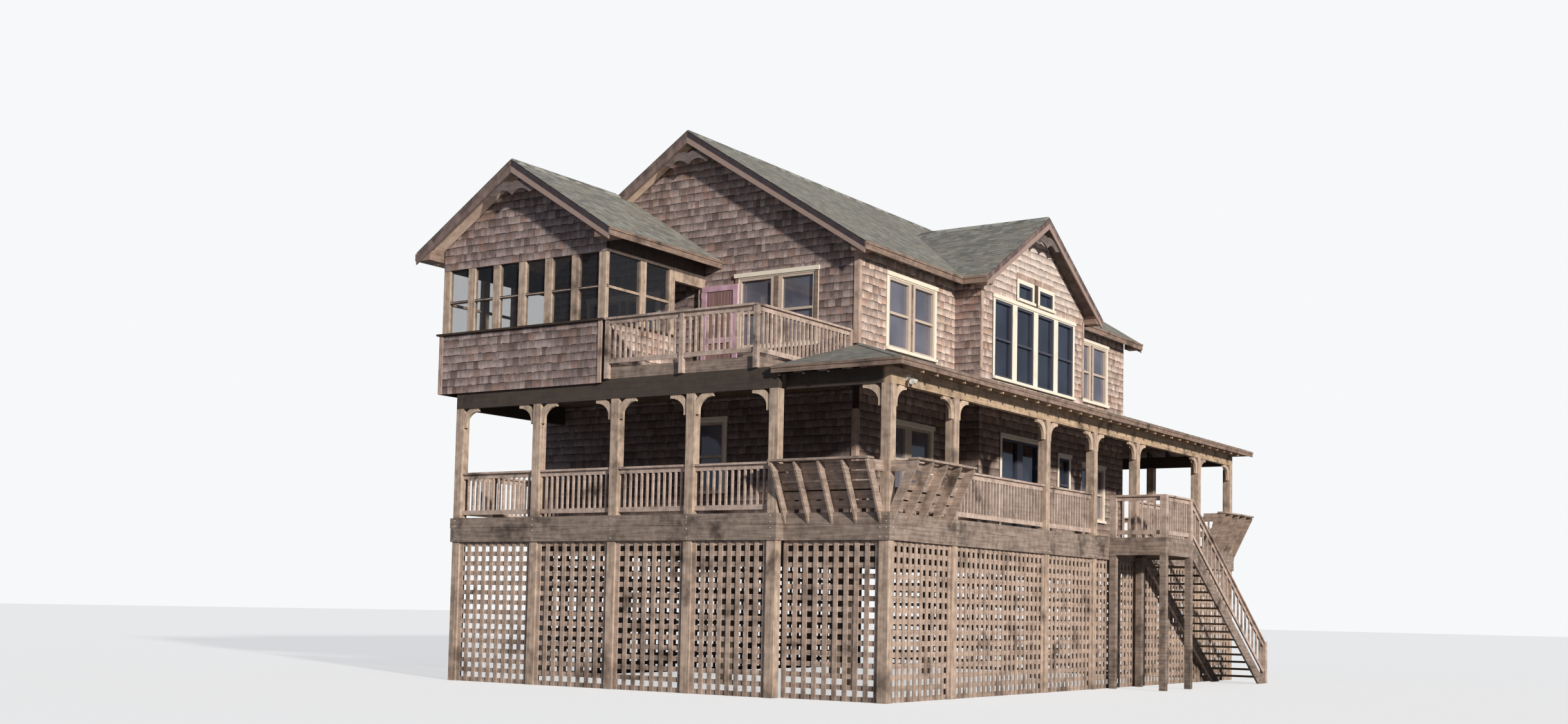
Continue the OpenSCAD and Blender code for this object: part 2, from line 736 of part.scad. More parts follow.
module rear_wall() {
    color("#9d8670") gable_plate(y_back - wall_t, wall_t) difference() {
        main_gable();
        holes(rear_windows);
    }
}

module right_wall_front() {
    color("#b08f76") side_plate(x_wall - wall_t, wall_t) difference() {
        translate([y_wall + wall_t, deck_h]) square([y_bay0 - y_wall, side_top - deck_h]);
        holes(right_front_windows);
    }
}

module right_wall_rear() {
    color("#b08f76") side_plate(x_wall - wall_t, wall_t) difference() {
        translate([y_bay1 - wall_t, deck_h]) square([y_back - y_bay1, side_top - deck_h]);
        holes(right_rear_windows);
    }
}

module left_wall() {
    color("#9d8670") side_plate(-x_wall, wall_t) difference() {
        translate([y_wall + wall_t, deck_h]) square([main_len - 2 * wall_t, side_top - deck_h]);
        holes(left_windows);
    }
}

bay_side = bay_ridge_z - roof_t - bay_rise * bay_w / 2;

module bay_end_walls() {
    color("#9d8670") for (y = [y_bay0, y_bay1 - wall_t])
        span([x_wall, y, deck_h], [x_bay - wall_t, y + wall_t, bay_side]);
}

module bay_side_wall() {
    color("#b08f76") side_plate(x_bay - wall_t, wall_t) difference() {
        polygon([[y_bay0, deck_h], [y_bay1, deck_h], [y_bay1, bay_side],
                 [bay_shift, bay_ridge_z - roof_t], [y_bay0, bay_side]]);
        holes(bay_windows);
    }
}

module upper_floor() {
    color("#7c6b58")
        span([-x_wall + wall_t, y_wall + wall_t, floor_low], [x_wall - wall_t, y_back - wall_t, floor_z]);
}

balcony_x1 = balcony_right - slim_w / 2 + rim_t / 2;

module balcony_floor() {
    color("#7c6b58")
        span([screen_left + parapet_t, y_floor0, floor_low], [balcony_x1 - rim_t, y_wall, floor_z]);
}

module balcony_rim() {
    color("#7c6b58") {
        span([screen_right, y_floor0 - rim_t, floor_low], [balcony_x1, y_floor0, floor_z]);
        span([balcony_x1 - rim_t, y_floor0, floor_low], [balcony_x1, y_wall, floor_z]);
    }
}

module balcony_railing_front() {
    y0 = y_floor0 - rim_t - slim_w;
    top = floor_z + balcony_rail - cap_t;
    x_first = screen_right + slim_w;
    x_last = balcony_right - slim_w;
    x_posts = [x_first, x_first + 0.516 * (x_last - x_first), x_last];
    color("#94846e") {
        for (x = x_posts) span([x, y0, floor_low], [x + slim_w, y0 + slim_w, top]);
        for (i = [0, 1]) translate([x_posts[i] + slim_w, y0 + slim_w / 2, floor_z])
            railing(x_posts[i + 1] - x_posts[i] - slim_w, balcony_rail);
        for (x = x_posts) span([x, y0 + (slim_w - cap_w) / 2, top],
                               [x + slim_w, y0 + (slim_w + cap_w) / 2, top + cap_t]);
    }
}

module balcony_railing_side() {
    y0 = y_floor0 - rim_t + cap_w / 2 - slim_w / 2;
    x0 = balcony_right - slim_w;
    color("#94846e") {
        translate([x0 + slim_w / 2, y0, floor_z]) rotate([0, 0, 90])
            railing(y_wall - slim_w - y0, balcony_rail);
        span([x0, y_wall - slim_w, floor_z], [balcony_right, y_wall, floor_z + balcony_rail]);
    }
}

module parapet() {
    z0 = floor_z - parapet_drop;
    z1 = floor_z + parapet_h;
    x0 = screen_left;
    x1 = screen_right;
    lip = 60;
    color("#9d8670") {
        span([x0, y_parapet, floor_low], [x1, y_floor0, z1]);
        span([x0, y_parapet, z0], [x1, y_parapet + parapet_t / 2, floor_low]);
        span([x0, y_floor0, z0], [x0 + parapet_t, y_wall, z1]);
        span([x1 - parapet_t, y_floor0, floor_z], [x1, y_door, z1]);
        span([x0 - lip, y_parapet - lip, z1], [x1 + lip / 2, y_floor0 + lip, z1 + cap_t]);
        span([x0 - lip, y_floor0 + lip, z1], [x0 + parapet_t + lip / 2, y_wall, z1 + cap_t]);
        span([x1 - parapet_t - lip / 2, y_floor0 + lip, z1], [x1 + lip / 2, y_door, z1 + cap_t]);
    }
}

// Height of the middle rails and of the front head of the screens
screen_bar = 50;
screen_bays = 6;
door_head = 2098;
screen_step = (screen_w - screen_post) / screen_bays;

module screen_posts() {
    z = floor_z + screen_mid_h;
    x_r = screen_right - screen_depth;
    tall = screen_z1 - screen_z0;
    inset = screen_depth * 0.15;
    color("#8b7a66") {
        for (i = [0 : screen_bays]) translate([screen_left + i * screen_step, y_screen, screen_z0])
            cube([screen_post, screen_depth, tall]);
        span([screen_left, y_screen, screen_z1],
             [screen_right, y_screen + screen_depth, screen_z1 + screen_bar]);
        for (x = [screen_left, x_r]) {
            for (y = screen_side_posts) translate([x, y, screen_z0]) cube([screen_depth, screen_post, tall]);
            span([x, y_screen + screen_depth, screen_z1], [x + screen_depth, y_wall, screen_side_top]);
            span([x + inset, y_screen + screen_depth, z], [x + screen_depth - inset, y_door, z + screen_bar]);
        }
        span([screen_left, y_jamb, screen_z0], [screen_left + screen_depth, y_wall, screen_z1]);
        span([x_r, y_jamb, floor_z], [screen_right, y_wall, screen_z1]);
        span([x_r, y_door, floor_z + door_head], [screen_right, y_jamb, screen_z1]);
        for (i = [0 : screen_bays - 1])
            translate([screen_left + i * screen_step + screen_post, y_screen + inset, z])
                cube([screen_step - screen_post, screen_depth - 2 * inset, screen_bar]);
    }
}

module screens() {
    t = glass_t;
    z_mid = floor_z + screen_mid_h;
    color("#3b3f42") {
        for (i = [0 : screen_bays - 1]) for (z = [[screen_z0, z_mid], [z_mid + screen_bar, screen_z1]])
            span([screen_left + i * screen_step + screen_post, y_screen + screen_depth / 2, z[0]],
                 [screen_left + (i + 1) * screen_step, y_screen + screen_depth / 2 + t, z[1]]);
        for (x = [screen_left, screen_right - screen_depth])
            for (z = [[screen_z0, z_mid], [z_mid + screen_bar, screen_z1]]) {
                span([x + screen_depth / 2, y_screen + screen_depth, z[0]],
                     [x + screen_depth / 2 + t, screen_side_posts[0], z[1]]);
                span([x + screen_depth / 2, screen_side_posts[0] + screen_post, z[0]],
                     [x + screen_depth / 2 + t, screen_side_posts[1], z[1]]);
            }
        span([screen_left + screen_depth / 2, y_door, screen_z0],
             [screen_left + screen_depth / 2 + t, y_jamb, screen_z1]);
    }
}

module screen_gable() {
    z0 = screen_z1 + screen_bar;
    color("#9d8670") gable_plate(y_screen, parapet_t)
        polygon([[screen_left, z0], [screen_right, z0], [screen_right, screen_side_top],
                 [screen_mid, screen_ridge_z - roof_t], [screen_left, screen_side_top]]);
}

// Framed leaf of the porch doorway, swung open along the front wall on three hinges
module screen_door() {
    hinge = 12;
    stile = 115;
    x0 = screen_right + hinge;
    x1 = x0 + door_w - 2 * hinge;
    y0 = y_wall - screen_post / 2 - door_t + 7;
    z0 = floor_z + 2 * hinge;
    z1 = floor_z + door_head + hinge;
    lock = z0 + 0.42 * (z1 - z0);
    color("#c98a86") {
        gable_plate(y0, door_t) difference() {
            translate([x0, z0]) square([x1 - x0, z1 - z0]);
            translate([x0 + stile, z0 + stile]) square([x1 - x0 - 2 * stile, lock - z0 - stile]);
            translate([x0 + stile, lock + stile]) square([x1 - x0 - 2 * stile, z1 - lock - 2 * stile]);
        }
        span([x0 + stile, y0 + door_t / 2, z0 + stile], [x1 - stile, y0 + door_t, lock]);
        span([x0 + stile, y0 + door_t / 2, lock + stile], [x1 - stile, y0 + door_t, z1 - stile]);
        for (z = [z0 + stile, (z0 + z1) / 2, z1 - 2 * stile])
            span([screen_right, y0, z], [x0, y_wall - stile / 2, z + stile]);
    }
}

// Two roof slopes meeting at a ridge, drawn in x and z with the ridge at 0
module slopes(run, rise, t) {
    polygon([[0, 0], [run, -rise * run], [run, -rise * run - t], [0, -t],
             [-run, -rise * run - t], [-run, -rise * run]]);
}

y_rake = y_wall - rake_over;
y_screen_rake = y_screen - screen_rake;
x_bay_rake = x_bay + bay_rake;

// Everything above a plane parallel to the main roof
module over_main(drop, reach) {
    polygon([[-reach, ridge_z - drop - roof_rise * reach], [0, ridge_z - drop],
             [reach, ridge_z - drop - roof_rise * reach], [reach, 2 * ridge_z], [-reach, 2 * ridge_z]]);
}

// Cap along a ridge, drawn in x and z with the ridge at 0
module ridge_cap(rise) {
    translate([0, ridge_up]) slopes(ridge_half, rise, roof_t / 2);
}

module screen_roof() {
    color("#6f7d6b") difference() {
        union() {
            gable_plate(y_screen_rake + trim_t, y_wall - y_screen_rake - trim_t)
                translate([screen_mid, screen_ridge_z]) slopes(screen_w / 2 + screen_eave, roof_rise, roof_t);
            gable_plate(y_screen_rake + trim_t, y_rake - eps - y_screen_rake - trim_t)
                translate([screen_mid, screen_ridge_z]) ridge_cap(roof_rise);
        }
        gable_plate(y_rake + trim_t, rake_over) over_main(roof_t, main_w);
    }
}

module main_roof() {
    color("#6f7d6b") difference() {
        gable_plate(y_rake + trim_t, main_len + 2 * (rake_over - trim_t)) translate([0, ridge_z]) {
            slopes(x_wall + eave_over, roof_rise, roof_t);
            ridge_cap(roof_rise);
        }
        span([x_wall, y_bay0, eave_z - 2 * roof_t], [x_wall + eave_over + eps, y_bay1, ridge_z]);
    }
}

// The space under the main roof's upper surface, out to a distance from its ridge
module under_main(reach) {
    polygon([[-eps, 0], [-eps, ridge_z], [0, ridge_z], [reach, ridge_z - roof_rise * reach], [reach, 0]]);
}

module bay_roof() {
    run = bay_w / 2 + eave_over;
    color("#6f7d6b") difference() {
        side_plate(0, x_bay_rake - trim_t) translate([bay_shift, bay_ridge_z]) {
            slopes(run, bay_rise, roof_t);
            ridge_cap(bay_rise);
        }
        gable_plate(bay_shift - run - eps, 2 * (run + eps)) under_main(x_wall);
        for (y = [y_bay0 - eave_over - eps, y_bay1]) gable_plate(y, eave_over + eps)
            under_main(x_wall + eave_over + trim_t);
    }
}

// The underside of the porch roof at a distance inside its eave
function porch_under(d) = porch_z0 - porch_t + porch_slope * d;

module porch_roof() {
    deep = porch_x - x_wall;
    hip_y = y_wall - (porch_left - x_wall) * (y_wall - porch_y0) / deep;
    y_hip = porch_y1 - deep;
    z_cut = [lattice_h, 3 * deck_h];
    color("#6f7d6b") {
        difference() {
            intersection() {
                gable_plate(porch_y0, porch_y1 - porch_y0) polygon([[x_wall, porch_z1], [porch_x, porch_z0],
                    [porch_x, porch_z0 - porch_t], [x_wall, porch_z1 - porch_t]]);
                translate([0, 0, z_cut[0]]) linear_extrude(z_cut[1]) polygon([
                    [x_wall, y_wall], [porch_x, porch_y0], [porch_x, porch_y1], [x_wall, y_hip]]);
            }
            span([x_wall - eps, y_bay0, z_cut[0]], [x_bay, y_bay1, z_cut[1]]);
        }
        intersection() {
            side_plate(porch_left, deep) polygon([[porch_y0, porch_z0], [y_wall, porch_z1],
                [y_wall, porch_z1 - porch_t], [porch_y0, porch_z0 - porch_t]]);
            translate([0, 0, z_cut[0]]) linear_extrude(z_cut[1]) polygon([
                [porch_left, porch_y0], [porch_x, porch_y0], [porch_left, hip_y]]);
        }
        intersection() {
            side_plate(-x_wall, porch_x + x_wall) polygon([[porch_y1, porch_z0], [y_hip, porch_z1],
                [y_hip, porch_z1 - porch_t], [porch_y1, porch_z0 - porch_t]]);
            translate([0, 0, z_cut[0]]) linear_extrude(z_cut[1]) polygon([[porch_x, porch_y1],
                [x_wall, y_hip], [x_wall, y_back], [-x_wall, y_back], [-x_wall, porch_y1]]);
        }
    }
}

// Rafter tail under the porch roof, drawn with the eave at 0 and the beam's outer face at reach
module rafter_tail(reach, slope) {
    nose = 30;
    function under(d) = porch_z0 - porch_t + slope * d;
    polygon([[nose, under(nose)], [reach + beam_w, under(reach + beam_w)], [reach + beam_w, beam_top],
             [reach, beam_top], [nose, under(nose) - rail_deep]]);
}

module porch_rafters() {
    over = porch_over + rim_t;
    front = porch_over_front + rim_t;
    over_rear = porch_y1 - side_post_y[6] - post_w;
    n = floor((deck_len - 2 * rafter_pitch) / rafter_pitch);
    m = floor((porch_x - jog_x - 2 * rafter_pitch) / rafter_pitch);
    k = floor((porch_x + x_wall - 2 * rafter_pitch) / rafter_pitch);
    front_slope = (porch_z1 - porch_z0) / (y_wall - porch_y0);
    color("#6e604f") {
        for (i = [0 : n]) translate([porch_x, 0, 0])
            mirror([1, 0, 0]) gable_plate(y_front + rafter_pitch + i * rafter_pitch, rafter_t)
                rafter_tail(over, porch_slope);
        for (i = [0 : m]) translate([0, porch_y0, 0])
            side_plate(jog_x + rafter_t + i * rafter_pitch, rafter_t) rafter_tail(front, front_slope);
        for (i = [0 : k]) translate([0, porch_y1, 0])
            mirror([0, 1, 0]) side_plate(-x_wall + rafter_t + i * rafter_pitch, rafter_t)
                rafter_tail(over_rear, porch_slope);
    }
}

// Sloping boards that follow the two slopes of a gable, drawn in x and z with the peak at 0
module rake_pair(run, rise) {
    polygon([[0, -rake_drop], [run, -rise * run - rake_drop], [run, -rise * run - rake_h],
             [0, -rake_drop - rake_h], [-run, -rise * run - rake_h], [-run, -rise * run - rake_drop]]);
}

module rake_boards() {
    color("#857463") {
        difference() {
            union() {
                gable_plate(y_rake, trim_t) translate([0, ridge_z]) rake_pair(x_wall + eave_over, roof_rise);
                gable_plate(y_back + rake_over - trim_t, trim_t) translate([0, ridge_z])
                    rake_pair(x_wall + eave_over, roof_rise);
            }
            gable_plate(y_rake - eps, trim_t + 2 * eps) {
                translate([-2 * main_w, 0]) square([2 * main_w + screen_mid, 2 * ridge_z]);
                translate([screen_mid, screen_ridge_z])
                    polygon([[-eps, 0], [0, 0], [main_w, -roof_rise * main_w], [-eps, -roof_rise * main_w]]);
            }
        }
        gable_plate(y_screen_rake, trim_t) translate([screen_mid, screen_ridge_z])
            rake_pair(screen_w / 2 + screen_eave, roof_rise);
        side_plate(x_bay_rake - trim_t, trim_t) translate([bay_shift, bay_ridge_z])
            rake_pair(bay_w / 2 + eave_over, bay_rise);
    }
}

// Block that boxes in the eave at a gable's corner, drawn outward from the wall with the
// underside of the roof's outer edge at 0
module eave_box(over, rise) {
    gap = corner_t + eps;
    polygon([[gap, 0], [over - eps, 0], [over - eps, eps * rise], [gap, (over - gap) * rise]]);
}

// Eave boards on the vertical ends of the roof slopes, and the boxed corners of the eaves
module fascia_boards() {
    x_e = x_wall + eave_over;
    z0 = eave_z - roof_t;
    lap = rake_drop;
    color("#857463") {
        span([x_e, y_rake, z0], [x_e + trim_t, y_bay0 - eave_over - eps, eave_z - lap]);
        span([x_e, y_bay1 + eave_over + eps, z0], [x_e + trim_t, y_back + rake_over, eave_z - lap]);
        span([-x_e - trim_t, y_rake, z0], [-x_e, y_back + rake_over, eave_z - lap]);
        for (y = [y_bay0 - eave_over - trim_t, y_bay1 + eave_over])
            span([x_e + trim_t + eps, y, z0], [x_bay_rake, y + trim_t, eave_z - lap]);
        span([screen_right + screen_eave, y_screen_rake, screen_eave_z - roof_t],
             [screen_right + screen_eave + trim_t, y_wall, screen_eave_z - lap]);
        span([screen_left - screen_eave - trim_t, y_screen_rake, screen_eave_z - roof_t],
             [screen_left - screen_eave, y_rake - eps, screen_eave_z - lap]);
        box_t = rake_over - trim_t - eps;
        for (y = [y_rake + trim_t + eps / 2, y_back + eps / 2]) gable_plate(y, box_t) for (side = [0, 1])
            if (side == 0 || y > 0) mirror([side, 0]) translate([x_wall, z0]) eave_box(eave_over, roof_rise);
        gable_plate(y_screen_rake + trim_t + eps / 2, screen_rake - trim_t - eps) {
            translate([screen_right, screen_eave_z - roof_t]) eave_box(screen_eave, roof_rise);
            translate([screen_left, screen_eave_z - roof_t]) mirror([1, 0]) eave_box(screen_eave, roof_rise);
        }
        side_plate(x_bay + eps / 2, bay_rake - trim_t - eps) {
            translate([y_bay1, z0]) eave_box(eave_over, bay_rise);
            translate([y_bay0, z0]) mirror([1, 0]) eave_box(eave_over, bay_rise);
        }
    }
}

scallops = 4;

// Collar board that spreads from under the peak of a gable to its two rakes, with a row of arches
// along its lower edge, drawn in x and z with the peak of the roof's underside at 0
module scallop_board(rise) {
    end = rise * scallop_half;
    low = end + scallop_h / 2;
    mid = scallop_drop + scallop_h;
    difference() {
        polygon([[0, -scallop_drop], [scallop_half, -end], [scallop_half, -low], [0, -mid],
                 [-scallop_half, -low], [-scallop_half, -end]]);
        for (i = [0 : scallops - 1]) {
            x = (i - (scallops - 1) / 2) * scallop_half / 2;
            translate([x, -mid - abs(x) / scallop_half * (low - mid)]) circle(r = scallop_r, $fn = 48);
        }
    }
}

module scalloped_boards() {
    color("#857463") {
        gable_plate(y_screen_rake + trim_t, trim_t) translate([screen_mid, screen_ridge_z - roof_t])
            scallop_board(roof_rise);
        for (y = [y_rake + trim_t, y_back + rake_over - 2 * trim_t]) gable_plate(y, trim_t)
            translate([0, ridge_z - roof_t]) scallop_board(roof_rise);
        side_plate(x_bay_rake - 2 * trim_t, trim_t) translate([bay_shift, bay_ridge_z - roof_t])
            scallop_board(bay_rise);
    }
}

module corner_boards() {
    z_roof = porch_z1;
    color("#8f7c68") {
        for (z = [[deck_h, deck_h + beam_clear], [z_roof, side_top - roof_t]]) {
            span([x_wall, y_wall - corner_t, z[0]], [x_wall + corner_t, y_wall + corner_w, z[1]]);
            span([x_wall - corner_w, y_wall - corner_t, z[0]], [x_wall, y_wall, z[1]]);
        }
        for (y = [y_bay0, y_bay1 - corner_w])
            span([x_bay, y, z_roof], [x_bay + corner_t, y + corner_w, bay_side - roof_t]);
        for (x = [screen_left, screen_right - corner_w])
            span([x, y_parapet - corner_t, floor_z - parapet_drop],
                 [x + corner_w, y_parapet, floor_z + parapet_h]);
        z_over = deck_h + bay_transoms[0][2] + casing_w;
        half = bay_step / 2 + bay_transoms[0][3] / 2 + casing_w;
        span([x_bay, bay_shift - half, z_over], [x_bay + corner_t, bay_shift + half, z_over + over_board]);
    }
}

// How far the head boards run past the casings to each side and above them
head_over = 20;

// Casing, sill, head board and sashes of one window, drawn along x with the wall's face at y = 0
// and the outside towards -y
module window_frame(win) {
    w = win[3];
    h = win[2] - win[1];
    n = max(1, win[4]);
    light = (w - (n - 1) * mullion_w) / n;
    translate([win[0], 0, deck_h + win[1]]) {
        gable_plate(-casing_t, casing_t) difference() {
            translate([-w / 2 - casing_w, 0]) square([w + 2 * casing_w, h + casing_w]);
            translate([-w / 2, -eps]) square([w, h + eps]);
        }
        gable_plate(-casing_t / 2, casing_t / 2 + sash_t) difference() {
            translate([-w / 2, 0]) square([w, h]);
            for (i = [0 : n - 1]) translate([-w / 2 + i * (light + mullion_w) + sash_w, 0]) {
                if (win[4] == 0) translate([0, sash_w]) square([light - 2 * sash_w, h - 2 * sash_w]);
                else for (z = [sash_w, h / 2 + sash_w / 2])
                    translate([0, z]) square([light - 2 * sash_w, h / 2 - 1.5 * sash_w]);
            }
        }
        translate([-w / 2 - casing_w, -sill_out, -sill_h]) cube([w + 2 * casing_w, sill_out, sill_h]);
        if (win[4] > 0)
            translate([-w / 2 - casing_w - head_over, -head_out, h + casing_w + head_over - head_h])
                cube([w + 2 * (casing_w + head_over), head_out, head_h]);
    }
}

// The windows of one wall, with x as the window's middle times dir
module wall_frames(list, dir) {
    for (w = list) window_frame([dir * w[0], w[1], w[2], w[3], w[4]]);
}

// Mullion boards, sill and head board that join a row of windows into one, drawn as above
module joined_frames(row) {
    w = row[0][3];
    h = row[0][2] - row[0][1];
    x0 = row[0][0] - w / 2 - casing_w;
    x1 = row[len(row) - 1][0] + w / 2 + casing_w;
    translate([0, 0, deck_h + row[0][1]]) {
        for (i = [1 : len(row) - 1]) span([row[i - 1][0] + w / 2 + casing_w / 2, -casing_t, 0],
                                          [row[i][0] - w / 2 - casing_w / 2, 0, h + casing_w]);
        span([x0, -sill_out, -sill_h], [x1, 0, 0]);
        span([x0 - head_over, -head_out, h + casing_w + head_over - head_h],
             [x1 + head_over, 0, h + casing_w + head_over]);
    }
}

module wall_glass(list, dir, upper) {
    for (w = list) if ((w[1] >= upper_floor_h) == upper)
        translate([dir * w[0] - w[3] / 2, sash_t, deck_h + w[1]]) cube([w[3], glass_t, w[2] - w[1]]);
}

module window_frames() {
    color("#e8e4d8") {
        translate([0, y_wall, 0]) wall_frames(concat(front_windows, porch_doors), 1);
        translate([0, y_back, 0]) rotate([0, 0, 180]) wall_frames(rear_windows, -1);
        translate([x_wall, 0, 0]) rotate([0, 0, 90])
            wall_frames(concat(right_front_windows, right_rear_windows), 1);
        translate([x_bay, 0, 0]) rotate([0, 0, 90]) {
            wall_frames(bay_windows, 1);
            joined_frames(bay_tall);
        }
        translate([-x_wall, 0, 0]) rotate([0, 0, -90]) wall_frames(left_windows, -1);
    }
}

module all_glass(upper) {
    color("#2f3a44") {
        translate([0, y_wall, 0]) wall_glass(concat(front_windows, porch_doors), 1, upper);
        translate([0, y_back, 0]) rotate([0, 0, 180]) wall_glass(rear_windows, -1, upper);
        translate([x_wall, 0, 0]) rotate([0, 0, 90])
            wall_glass(concat(right_front_windows, right_rear_windows), 1, upper);
        translate([x_bay, 0, 0]) rotate([0, 0, 90]) wall_glass(bay_windows, 1, upper);
        translate([-x_wall, 0, 0]) rotate([0, 0, -90]) wall_glass(left_windows, -1, upper);
    }
}

module upper_glass() { all_glass(true); }
module lower_glass() { all_glass(false); }

// Box on the beam beside the corner post with two lamp heads turned outward and down
module flood_light() {
    box = 110;
    depth = 45;
    head_r = 55;
    x0 = deck_right - rim_t;
    y0 = side_post_y[0] + post_w + 0.75 * bracket_w;
    z0 = beam_z + (beam_h - box) / 2;
    color("#d8d8d0") {
        span([x0, y0, z0], [x0 + depth, y0 + box, z0 + box]);
        for (a = [-35, 35]) translate([x0 + depth - 10, y0 + box / 2, z0 + box / 2]) rotate([0, 120, a]) {
            cylinder(h = box, r = head_r / 3, $fn = 32);
            translate([0, 0, box / 2]) cylinder(h = box, r1 = head_r / 2, r2 = head_r, $fn = 48);
        }
    }
}

front_posts();
right_posts();
rear_posts();
pilings();
rim_boards();
deck_floor();
main_floor();
lattice_front_left();
lattice_front_mid();
lattice_front_right();
lattice_right_front();
lattice_right_mid();
lattice_right_rear();
lattice_left_front();
lattice_left_rear();
lattice_rear_right();
lattice_rear_left();
porch_beams();
post_brackets();
front_railing();
right_railing();
rear_railing();
landing();
landing_railing();
stair_stringers();
stair_treads();
stair_railing();
front_bench();
side_bench();
rear_bench();
front_wall();
right_wall_front();
right_wall_rear();
bay_end_walls();
bay_side_wall();
rear_wall();
left_wall();
upper_floor();
balcony_floor();
balcony_rim();
balcony_railing_front();
balcony_railing_side();
parapet();
screen_posts();
screens();
screen_gable();
screen_door();
screen_roof();
main_roof();
bay_roof();
porch_roof();
porch_rafters();
rake_boards();
fascia_boards();
scalloped_boards();
corner_boards();
window_frames();
upper_glass();
lower_glass();
flood_light();
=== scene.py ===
import bpy
import math
import random
import numpy as np
from mathutils import Matrix, Vector


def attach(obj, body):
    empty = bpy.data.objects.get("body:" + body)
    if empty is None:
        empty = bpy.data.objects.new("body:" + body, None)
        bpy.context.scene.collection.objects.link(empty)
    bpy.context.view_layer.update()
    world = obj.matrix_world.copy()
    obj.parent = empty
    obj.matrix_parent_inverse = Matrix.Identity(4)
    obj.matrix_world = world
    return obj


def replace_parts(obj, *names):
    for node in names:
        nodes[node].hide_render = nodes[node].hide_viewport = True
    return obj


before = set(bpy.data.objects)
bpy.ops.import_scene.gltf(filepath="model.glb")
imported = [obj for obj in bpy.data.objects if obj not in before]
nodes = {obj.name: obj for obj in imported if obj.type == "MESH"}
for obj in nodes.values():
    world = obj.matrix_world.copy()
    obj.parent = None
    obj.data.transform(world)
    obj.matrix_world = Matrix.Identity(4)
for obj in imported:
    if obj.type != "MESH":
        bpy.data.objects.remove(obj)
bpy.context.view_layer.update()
print("frame loaded:", len(nodes), "nodes")

# h holds the main sizes of the house, in metres, as in the part's source
h = {
    "deck": 3.30, "frontRim": -8.905, "rightRim": 6.63,
    "wall": 4.07, "frontWall": -5.875, "backWall": 7.615, "floor": 6.162,
    "eave": 8.795, "rise": 0.635, "over": 0.35, "rake": 0.375, "roofDeep": 0.17,
    "bayOut": 0.62, "bayHalf": 2.715, "bayMid": 0.88, "bayRise": 0.605, "bayRake": 0.34,
    "screenLeft": -4.09, "screenRight": 0.29, "screenFront": -9.10, "screenEave": 8.82,
    "screenOver": 0.40, "screenRake": 0.43, "parapetFace": -9.155,
    "porchLeft": 4.30, "porchX": 6.985, "porchFront": -9.21, "porchRear": 9.26,
    "porchLow": 5.935, "porchHigh": 6.85,
}
h["ridge"] = h["eave"] + h["rise"] * (h["wall"] + h["over"])
h["bayRidge"] = h["eave"] + h["bayRise"] * (h["bayHalf"] + h["over"])
h["screenMid"] = (h["screenLeft"] + h["screenRight"]) / 2
h["screenHalf"] = (h["screenRight"] - h["screenLeft"]) / 2 + h["screenOver"]
h["screenRidge"] = h["screenEave"] + h["rise"] * h["screenHalf"]


def linear(r, g, b):
    # screen colour, 0 to 255, as the linear colour that a shader takes
    return (*(((c / 255 + 0.055) / 1.055) ** 2.4 if c > 10 else c / 3294.6 for c in (r, g, b)), 1)


# an output of a material's nodes, so that shader maths can be written as sums
class Sig:
    def __init__(self, tree, socket=None):
        self.tree, self.socket = tree, socket

    def node(self, kind, settings=None, values=None, output=0):
        # a node with its settings, then a value or a link for each socket, by name or number
        made = self.tree.nodes.new(kind)
        for key, value in (settings or {}).items():
            setattr(made, key, value)
        for key, value in (values or {}).items():
            if isinstance(value, Sig):
                value.to(made.inputs[key])
            else:
                made.inputs[key].default_value = value
        return Sig(self.tree, made.outputs[output])

    def output(self, key):
        # another output of the same node
        return Sig(self.tree, self.socket.node.outputs[key])

    def to(self, socket):
        self.tree.links.new(self.socket, socket)

    def maths(self, how, *values):
        return self.node("ShaderNodeMath", {"operation": how}, dict(enumerate(values)))

    def __add__(self, other): return self.maths("ADD", self, other)
    def __radd__(self, other): return self.maths("ADD", other, self)
    def __sub__(self, other): return self.maths("SUBTRACT", self, other)
    def __rsub__(self, other): return self.maths("SUBTRACT", other, self)
    def __mul__(self, other): return self.maths("MULTIPLY", self, other)
    def __rmul__(self, other): return self.maths("MULTIPLY", other, self)
    def size(self): return self.maths("ABSOLUTE", self)
    def rest(self): return self.maths("FRACT", self)
    def clamp(self): return self.node("ShaderNodeClamp", values={0: self})

    def range(self, a, b, c=0.0, d=1.0):
        # a smooth step from c to d while this goes from a to b
        return self.node("ShaderNodeMapRange", {"interpolation_type": "SMOOTHSTEP"},
                         dict(enumerate((self, a, b, c, d))))

    def band(self, a, b, c, d):
        # rises from a to b and falls from c to d
        return self.range(a, b) * (1.0 - self.range(c, d))

    def spread(self, reach):
        # noise lies about a half: this draws it out to run from 0 to 1
        return self.range(0.5 - reach, 0.5 + reach)

    def mix(self, a, b):
        # colour a where this is 0, colour b where it is 1
        a, b = (v if isinstance(v, Sig) else linear(*v) for v in (a, b))
        return self.node("ShaderNodeMix", {"data_type": "RGBA"}, {0: self, 6: a, 7: b}, 2)


def newMaterial(name, rough=0.8, spec=0.3):
    # a material, its sockets, and the object coordinates as one vector and as x, y and z
    mat = bpy.data.materials.new(name)
    mat.use_nodes = True
    sockets = mat.node_tree.nodes["Principled BSDF"].inputs
    sockets["Roughness"].default_value = rough
    sockets["Specular IOR Level"].default_value = spec
    at = Sig(mat.node_tree).node("ShaderNodeTexCoord", output="Object")
    x = at.node("ShaderNodeSeparateXYZ", values={"Vector": at})
    return mat, sockets, at, x, x.output("Y"), x.output("Z")


def attribute(at, name):
    return at.node("ShaderNodeAttribute", {"attribute_name": name}, output="Fac")


def combine(x, y, z):
    return x.node("ShaderNodeCombineXYZ", values={0: x, 1: y, 2: z})


